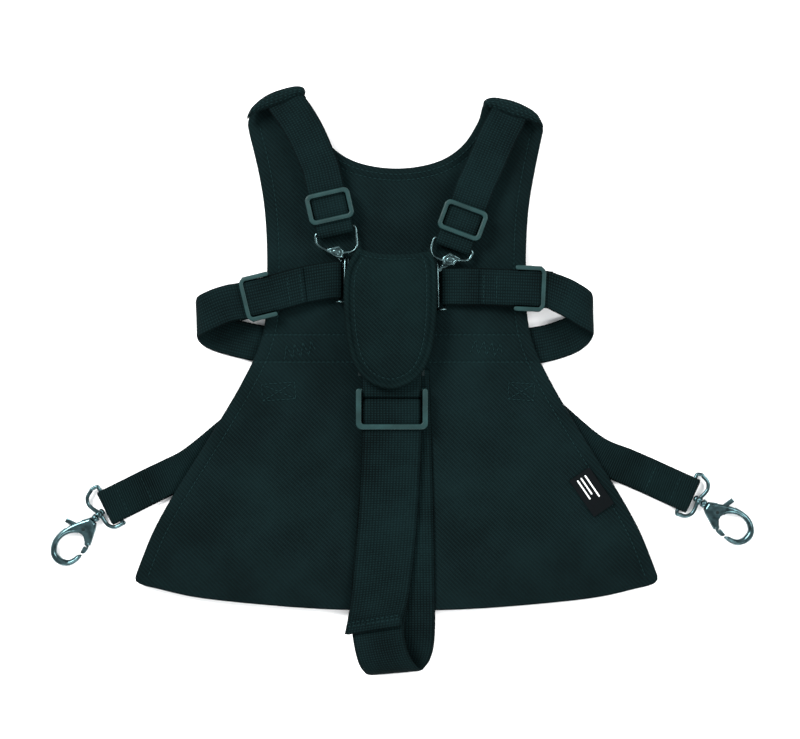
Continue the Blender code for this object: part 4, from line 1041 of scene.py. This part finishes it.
def slider(name, place, degrees, size, bar, high, low, open_end, body, node, corner=4.2):
    """A moulded three-bar slide: a frame over the webbing, a bar under it and cheeks between. high and low
    are the levels of the frame and of the bar. An open end leaves two arms over the webbing."""
    across, along = size
    outer = rounded_box((along, across), corner)
    window = rounded_box((along - 2 * bar, across - 2 * bar), 1.8)
    parts = []
    if open_end:
        def quarter(points, sign):
            return [p for p in points if p.x < 0 and p.y * sign > 0]

        left_cap, right_cap = (arc(((along - bar) / 2, sign * (across - bar) / 2), bar / 2, 90, -90, 6)
                               for sign in (1, -1))
        shape = [*reversed(left_cap), *quarter(outer, 1), *quarter(outer, -1), *reversed(right_cap),
                 *reversed(quarter(window, -1)), *reversed(quarter(window, 1))]
        parts.append(plate("frame", [shape], high, 0.7))
        parts.append(plate("lower", [outer, window], low, 0.7))
    else:
        parts.append(plate("frame", [outer, window], high, 0.9))
    for sign in (-1, 1):
        y = sign * (across - bar) / 2
        cheek = plate("cheek", [rounded_box((along - 5, bar), 1.1)], (low[0], high[1] - 0.2), 0.5)
        parts.append(placed(cheek, (0, y, 0), 0))
    parts.append(plate("bar", [rounded_box((bar, across - bar), 1.0)], low, 0.7))
    made = joined(name, parts)
    placed(made, (*place, 0), degrees)
    made.data.shade_smooth()
    return finished(made, "plastic", body, node)


def along_slider(side, distance):
    (x, y), degrees = WAIST_SLIDER[side]
    return Vector((x, y)) + distance * unit(degrees)


def make_waist_belt(side):
    degrees = WAIST_SLIDER[side][1]
    width_angle = degrees + 90 if side == "left" else degrees - 90
    stations = list(WAIST_RUN[side])
    for distance in (-11.0, -4.0):
        stations.append((*along_slider(side, distance), FOLD_HIGH_Z, width_angle))
    for turn in (90, 45, 0, -45, -90):
        place = along_slider(side, 0.4 + FOLD_RADIUS * math.cos(math.radians(turn)))
        stations.append((*place, FOLD_MIDDLE_Z + FOLD_RADIUS * math.sin(math.radians(turn)), width_angle))
    for distance in (-8.0, -WAIST_TAIL):
        stations.append((*along_slider(side, distance), FOLD_LOW_Z, width_angle))
    belt = strap(f"{side}_waist_webbing", stations, WEB, WEB_THICK)
    finished(belt, "webbing", "vest", f"{side}_waist_belt")


def row_across(spot, across, half, level):
    """The ends of a row of stitches over webbing."""
    a, b = spot - half * across, spot + half * across
    return [(a.x, a.y, level), (b.x, b.y, level)]


def make_waist_connector(side):
    degrees = WAIST_SLIDER[side][1]
    sign = 1 if side == "left" else -1
    width_angle = degrees + sign * 90
    bar = along_slider(side, SLIDER_SIZE[1] / 2 - 1.6)
    start = unit(degrees)
    middle, end = CONNECTOR_MIDDLE[side], CONNECTOR_END[side]
    low, high = TONGUE_LEVELS
    tongue_radius, tongue_middle = (high - low) / 2, (high + low) / 2
    tongue_x = TONGUE_BAR[side]
    stations = []
    for turn in (-90, -45, 0, 45, 90):
        place = bar - (0.5 + FOLD_RADIUS * math.cos(math.radians(turn))) * start
        stations.append((*place, FOLD_MIDDLE_Z + FOLD_RADIUS * math.sin(math.radians(turn)), width_angle))
    stations.append((*middle, high + 0.8, (width_angle + 90) / 2))
    stations.append((end[0] - sign * 4, end[1], high + 0.1, 90))
    for turn in (90, 45, 0, -45, -90):
        stations.append((tongue_x + sign * tongue_radius * math.cos(math.radians(turn)), end[1],
                         tongue_middle + tongue_radius * math.sin(math.radians(turn)), 90))
    stations.append((end[0] - sign * 4, end[1], low, 90))
    stations.append((*middle, low + 0.5, (width_angle + 90) / 2))
    web = strap(f"{side}_connector_webbing", stations, WEB, WEB_THICK, cyclic=True)
    finished(web, "webbing", "vest", f"{side}_waist_connector")

    flap_run = [(*along_slider(side, distance), z, width_angle)
                for distance, z in ((-7.7, 15.7), (-3.0, 15.9), (2.5, 15.7))]
    for share, z in ((0.0, 14.9), (0.4, 15.0), (0.7, 14.8), (1.0, 14.5)):
        spot = (bar + 1.5 * start).lerp(Vector(middle), share)
        flap_run.append((*spot, z, width_angle + (90 - width_angle) * share * 0.5))
    flap = strap(f"{side}_connector_lap", flap_run, WEB - 0.6, 1.2)
    finished(flap, "webbing", "vest")
    across = unit((width_angle + 90) / 2)
    lines = []
    for back in LAP_STITCHES:
        spot = Vector(middle) - back * start
        lines.append(row_across(spot, across, 10.5, 15.35 + back * 0.03))
    stitches(f"{side}_lap_stitches", lines, "vest", None, FINE_STITCH)


def crotch_fold(y, first, last):
    stations = []
    for i in range(5):
        turn = math.radians(first + (last - first) * i / 4)
        stations.append((STRAP_X, y + FOLD_RADIUS * math.cos(turn),
                         FOLD_MIDDLE_Z + FOLD_RADIUS * math.sin(turn), 0, 1.0))
    return stations


def make_crotch():
    slider("crotch_three_bar_slide", (STRAP_X, CROTCH_SLIDER_Y), 90, CROTCH_SLIDER_SIZE, 3.6,
           (15.2, 17.8), (11.1, 13.5), True, "vest", "crotch_slider")
    fold = crotch_fold(CROTCH_SLIDER_Y + 4.2, -90, 90)
    stations = [*REAR_RUN, *CROTCH_BEND, *FRONT_RUN, *fold, *TAIL_RUN, *TAIL_FOLD]
    web = strap("crotch_webbing", stations, CROTCH_WEB, WEB_THICK)
    finished(web, "webbing", "vest", "crotch_strap")
    slider_fold = CROTCH_SLIDER_Y + CROTCH_SLIDER_SIZE[1] / 2 - 3.4
    lower = crotch_fold(slider_fold, 270, 90)
    upper = crotch_fold(BUCKLE_FOLD_Y, 90, -90)
    connector = strap("crotch_connector_webbing", [*lower, *upper], CROTCH_WEB, WEB_THICK, 1.0,
                      cyclic=True)
    finished(connector, "webbing", "vest", "crotch_connector")
    end, across, inward = Vector(TAIL_SEAM), unit(TAIL_SEAM_ANGLE), unit(TAIL_SEAM_ANGLE + 90)
    lines = [row_across(end + reach * inward, across, 18, 18.5) for reach in (0.0, 2.2)]
    stitches("tail_stitches", lines, "vest", None, STRAP_STITCH)


# ---- Cover pad and label --------------------------------------------------------------------

def pad_top_edge():
    (left, left_y), (right, right_y) = PAD_TOP["left"][0], PAD_TOP["right"][0]
    return smooth_line([(PAD_X - left, left_y), (PAD_X - 13, PAD_TOP_DIP + 1.4), (PAD_X, PAD_TOP_DIP),
                        (PAD_X + 14, PAD_TOP_DIP + 0.4), (PAD_X + right, right_y)], 6)


def pad_side_edge():
    right = [(PAD_X + x, y) for x, y in PAD_TOP["right"] + PAD_HALF]
    left = [(PAD_X - x, y) for x, y in reversed(PAD_TOP["left"] + PAD_HALF[:-1])]
    return smooth_line([*right, *left], 6)


def pad_shape(spots, depths):
    """Thickness above or below the middle: a round bound edge, a sewn channel, then the stuffing."""
    side = distances(spots, pad_side_edge())
    top = distances(spots, pad_top_edge())
    band = np.clip(side / PAD_BAND, 0, 1)
    cord = np.sqrt(np.clip(1 - (2 * band - 1) ** 2, 0, 1)) * (side < PAD_BAND)
    stuffing = 1 - np.exp(-np.clip(np.minimum(side - PAD_BAND, top - 3.5), 0, 60) / 3.0)
    rise = np.where(side < PAD_BAND, 0.2 + 2.3 * cord, 0.55 + 1.75 * stuffing)
    rise = rise - 0.45 * groove(side, PAD_BAND + 2.6, 0.55) * (side >= PAD_BAND)
    rise = np.where(side >= PAD_BAND, rise - 0.55 * groove(top, 3.6, 0.7), rise)
    return rise * np.clip(depths / 0.7, 0, 1) ** 0.5 * np.where(top < 4.0, 0.8, 1.0)


def make_cover_pad():
    middle = (PAD_LEVELS[0] + PAD_LEVELS[1]) / 2

    def face(spots, depths):
        return middle + 1.1 * pad_shape(spots, depths)

    def backing(spots, depths):
        return middle - 0.9 * pad_shape(spots, depths)

    loop = [*pad_side_edge(), *pad_top_edge()[1:-1]]
    pad = pillow("cover_pad", loop, 1.4, (0.25, 0.6, 1.1, 1.8, 2.5, 3.2, 3.7, 4.1, 4.5, 5.2, 6.2, 6.8, 7.4),
                 face, backing)
    finished(pad, "pad_twill", "cover_pad", "cover_pad_face", "cover_pad_foam", "cover_pad_backing",
             "cover_pad_binding")

    def level(x, y):
        spot = np.array([(x, y)])
        return float(face(spot, distances(spot, pad_side_edge()))[0]) + 0.15

    sewn = offset_line(evenly(pad_side_edge(), 2.0), -(PAD_BAND + 2.6))
    top = [p for p in offset_line(pad_top_edge(), -3.2) if abs(p.x - PAD_X) < 20]
    stitches("pad_stitches", [sewn, top], "cover_pad", level, FINE_STITCH)


def make_label():
    tag = plate("woven_label", [rounded_box(LABEL_SIZE, 0.8)], (7.7, 8.5), 0.2)
    finished(placed(tag, (*LABEL_AT, 0), LABEL_TURN), "label", "vest", "blank_label")
    bars = []
    for x, y, length in LABEL_BARS:
        bar = plate("bar", [rounded_box((length, 1.0), 0.4)], (8.4, 8.62), 0.08)
        bars.append(placed(bar, (x, y, 0), 0))
    made = joined("label_bars", bars)
    finished(placed(made, (*LABEL_AT, 0), LABEL_TURN), "label_print", "vest")


# ---- Tether straps and snap hooks -----------------------------------------------------------

def tether_point(side, back):
    return Vector(TETHER_END[side]) - back * unit(TETHER_ANGLE[side])


def make_tether(side):
    """One webbing in two layers: sewn under the vest, out to the ring, round it and back."""
    free_angle = TETHER_ANGLE[side]
    width_angle = free_angle + 90 if side == "right" else free_angle - 90
    half = TETHER_LAYER / 2
    upper = 2 * TETHER_LAYER + 0.3 - half
    radius = 2.2
    under = [(x, y, half, degrees + 90) for x, y, degrees in TETHER_SEWN[side]]
    over = [(x, y, upper, degrees + 90) for x, y, degrees in reversed(TETHER_SEWN[side])]
    route = [(TETHER_HINGE, half), (24, half), (16, half), (9.5, AXIS_Z - radius)]
    for turn in (-90, -45, 0, 45, 90):
        route.append((half + radius - radius * math.cos(math.radians(turn)),
                      AXIS_Z + radius * math.sin(math.radians(turn))))
    route += [(9.5, AXIS_Z + radius), (16, 3.6), (22, upper + 0.4), (TETHER_HINGE, upper)]
    free = [(*tether_point(side, back), z, width_angle) for back, z in route]
    web = strap(f"{side}_tether_webbing", [*under, *free, *over], TETHER_WEB, TETHER_LAYER, 1.4)
    finished(web, "tether", None, f"{side}_tether_sewn_end", f"{side}_tether_strap")
    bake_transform(web)

    lines = [row_across(tether_point(side, back), unit(width_angle), 10.2, level)
             for back, level in TETHER_STITCHES]
    stitches(f"{side}_tether_stitches", lines, f"{side}_tether", None, STRAP_STITCH)


def on_hook(made, side):
    """The mesh moved from the swivel's axis, along X, to the hook's place."""
    return placed(made, (*HOOK_AT[side], AXIS_Z), HOOK_ANGLE[side])


def make_tether_ring(side, sign):
    end = Vector(TETHER_END[side]) - Vector(HOOK_AT[side])
    end.rotate(Matrix.Rotation(-math.radians(HOOK_ANGLE[side]), 2))
    bar_x = end.x - BAR_BACK
    lean = math.tan(math.radians(abs(HOOK_ANGLE[side] - TETHER_ANGLE[side]) / 2))
    bar = [(bar_x - lean * y, y) for y in (14.0, 12.5, 6, 0, -6, -12.5, -14.0)]
    lobe = [(-4.6, 1.5), (-3.6, 5.5), (-3.5, 9.8), (-6.1, 13.5), (-10.6, 15.0), (bar_x + 2.0, 15.4)]
    points = [*lobe, *bar, *[(x, -y) for x, y in reversed(lobe)]]
    loop = [(x, sign * y, 0) for x, y in points]
    ring = tube("ring", smooth_line(loop, 8, cyclic=True), TETHER_WIRE, sides=5)
    made = joined(f"{side}_eye_ring", [ring, turned("collar", COLLAR_PROFILE)])
    made.data.shade_smooth()
    finished(on_hook(made, side), "chrome", f"{side}_ring", f"{side}_tether_ring")


def cut_with(made, cutter):
    step = made.modifiers.new("cut", "BOOLEAN")
    step.operation = "DIFFERENCE"
    step.solver = "EXACT"
    step.object = cutter
    fresh = baked(made)
    bpy.data.objects.remove(cutter)
    return fresh


def cast(made, voxel, rounds):
    """Remeshed and smoothed, so that its edges are round like a casting's."""
    step = made.modifiers.new("voxels", "REMESH")
    step.mode = "VOXEL"
    step.voxel_size = voxel * MM
    soft = made.modifiers.new("round", "SMOOTH")
    soft.iterations = rounds
    soft.factor = 0.5
    return baked(made)


def flat_solid(name, outline, levels):
    """A plain extruded outline with sharp edges."""
    count = len(outline)
    places = [(p[0], p[1], z) for z in levels for p in outline]
    faces = [tuple(range(count - 1, -1, -1)), tuple(range(count, 2 * count))]
    faces += [(i, (i + 1) % count, count + (i + 1) % count, count + i) for i in range(count)]
    made = mesh_object(name, places, faces, smooth=False)
    form = bmesh.new()
    form.from_mesh(made.data)
    bmesh.ops.triangulate(form, faces=[f for f in form.faces if len(f.verts) > 4])
    bmesh.ops.recalc_face_normals(form, faces=form.faces)
    form.to_mesh(made.data)
    form.free()
    return made


def make_hook(side, sign):
    half = HOOK_THICK / 2

    def mirror(points):
        return [(x, sign * y) for x, y in points]

    outline = mirror([*smooth_line(HOOK_OUTER, 5), *smooth_line(HOOK_INNER, 5), *HOOK_TIP,
                      *smooth_line(HOOK_HEEL, 3)])

    def face(spots, depths):
        return half * quarter_round(depths, HOOK_ROUND)

    def back(spots, depths):
        return -face(spots, depths)

    body = pillow(f"{side}_snap_hook", outline, 0.7, (0.12, 0.35, 0.7, 1.2, 1.8), face, back)
    px, py = GATE_PIVOT
    pocket = []
    for low, high, radius in GATE_POCKET:
        pocket += arc((0, 0), radius, low, high, max(2, round((high - low) / 12)))
    slot = flat_solid("slot", mirror([(px + p.x, py + p.y) for p in pocket]), (-1.65, 1.65))
    body = cast(cut_with(body, slot), 0.24, 4)
    finished(on_hook(body, side), "chrome", f"{side}_hook", f"{side}_hook_body")

    stud = turned(f"{side}_stud", STUD_PROFILE)
    finished(on_hook(stud, side), "chrome", f"{side}_hook", f"{side}_swivel_stud")

    pin = plate(f"{side}_rivet", [arc((px, py), 1.25, 0, 345, 23)], (-half - 0.1, half + 0.1), 0.25)
    finished(on_hook(pin, side), "inner_plastic", f"{side}_hook", f"{side}_gate_pin")

    lever_angle, lever_length = GATE_LEVER
    hub = plate("hub", [arc((0, 0), 2.9, 0, 348, 29)], (-1.2, 1.2), 0.3)
    finger = plate("finger", [mirror(GATE_FINGER)], (-1.2, 1.2), 0.2)
    tip = cast(flat_solid("tip", mirror(GATE_TIP), (-1.9, 1.9)), 0.2, 4)
    lever = plate("lever", [[(0, -1.5), (lever_length, -1.5), (lever_length, 1.5), (0, 1.5)]],
                  (-1.3, 1.3), 0.5)
    placed(lever, (0, 0, 0), sign * lever_angle)
    gate = joined(f"{side}_sprung_gate", [hub, finger, tip, lever])
    gate.data.shade_smooth()
    gate.data.transform(Matrix.Translation(Vector((px, sign * py, 0)) * MM))
    finished(on_hook(gate, side), "chrome", f"{side}_gate", f"{side}_gate")


# ---- Inside the buckle, and carried-over CAD nodes ------------------------------------------

def make_button_spring():
    """The coil under the release button, built as one fixed helix."""
    (x, y), radius, wire = BUTTON_AT, 3.6, 0.3
    low, high = BUTTON_SPRING
    points = []
    for step in range(SPRING_TURNS * 16 + 1):
        around = unit(360 * step / 16) * radius
        points.append((x + around.x, y + around.y, low + (high - low) * step / (SPRING_TURNS * 16)))
    coil = tube("button_coil", points, wire, cyclic=False)
    finished(coil, "steel", "vest", "button_spring")
    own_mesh(coil)



def dress_cad_nodes():
    """Gives the hard CAD nodes that stay visible their materials."""
    looks = {"buckle_screw": "steel", "gate_spring": "steel", "button_spring": "steel",
             "latch_plate": "steel", "buckle_base": "inner_plastic", "buckle_cover": "inner_plastic",
             "release_button": "plastic"}
    for name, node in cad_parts.items():
        for part, material in looks.items():
            if name.endswith(part):
                node.data.materials.clear()
                node.data.materials.append(MATERIALS[material])


# ---- Stage ----------------------------------------------------------------------------------

def area_light(name, place, size, power):
    """A rectangular light at a place in metres that shines at the origin."""
    data = bpy.data.lights.new(name, "AREA")
    data.shape = "RECTANGLE"
    data.size, data.size_y = size
    data.energy = power
    made = bpy.data.objects.new(name, data)
    bpy.context.scene.collection.objects.link(made)
    made.location = place
    made.rotation_euler = (-Vector(place)).to_track_quat("-Z", "Y").to_euler()
    return made


def make_stage():
    corners = [(x * FLOOR_HALF, y * FLOOR_HALF, FLOOR_Z) for x, y in ((-1, -1), (1, -1), (1, 1), (-1, 1))]
    floor = mesh_object("floor", corners, [(0, 1, 2, 3)], smooth=False)
    floor.data.materials.append(MATERIALS["floor"])
    world = bpy.data.worlds.new("studio")
    bpy.context.scene.world = world
    world.use_nodes = True
    background = world.node_tree.nodes["Background"]
    background.inputs["Color"].default_value = WORLD_COLOUR
    background.inputs["Strength"].default_value = WORLD_STRENGTH
    for light in LIGHTS:
        area_light(*light)

    camera = bpy.data.cameras.new("camera")
    camera.lens = LENS
    camera.sensor_width = SENSOR
    camera.clip_start = 0.05
    made = bpy.data.objects.new("camera", camera)
    bpy.context.scene.collection.objects.link(made)
    made.location = (CAMERA_AT[0] * MM, CAMERA_AT[1] * MM, CAMERA_HEIGHT * MM)
    bpy.context.scene.camera = made
    bpy.context.scene.view_settings.view_transform = "Standard"


make_stage()
make_panel()
make_facings()
for SIDE in SIDES:
    SIGN = -1 if SIDE == "left" else 1
    make_tab_roll(SIDE)
    make_shoulder_strap(SIDE)
    make_shoulder_ring(SIDE)
    make_tongue(SIDE)
    slider(f"{SIDE}_shoulder_slide", shoulder_point(SIDE, SHOULDER_SLIDER_AT[SIDE]),
           SHOULDER_LEAN[SIDE] + 90, SLIDER_SIZE, 3.0, (16.9, 19.4), (12.0, 14.5), False,
           f"{SIDE}_slider", f"{SIDE}_shoulder_slider")
    make_waist_belt(SIDE)
    slider(f"{SIDE}_waist_slide", WAIST_SLIDER[SIDE][0], WAIST_SLIDER[SIDE][1], SLIDER_SIZE, 2.9,
           (15.3, 17.7), (11.1, 13.5), True, "vest", f"{SIDE}_waist_slider", 5.2)
    make_waist_connector(SIDE)
    make_tether(SIDE)
    make_tether_ring(SIDE, SIGN)
    make_hook(SIDE, SIGN)
make_crotch()
make_cover_pad()
make_label()
make_button_spring()
dress_cad_nodes()
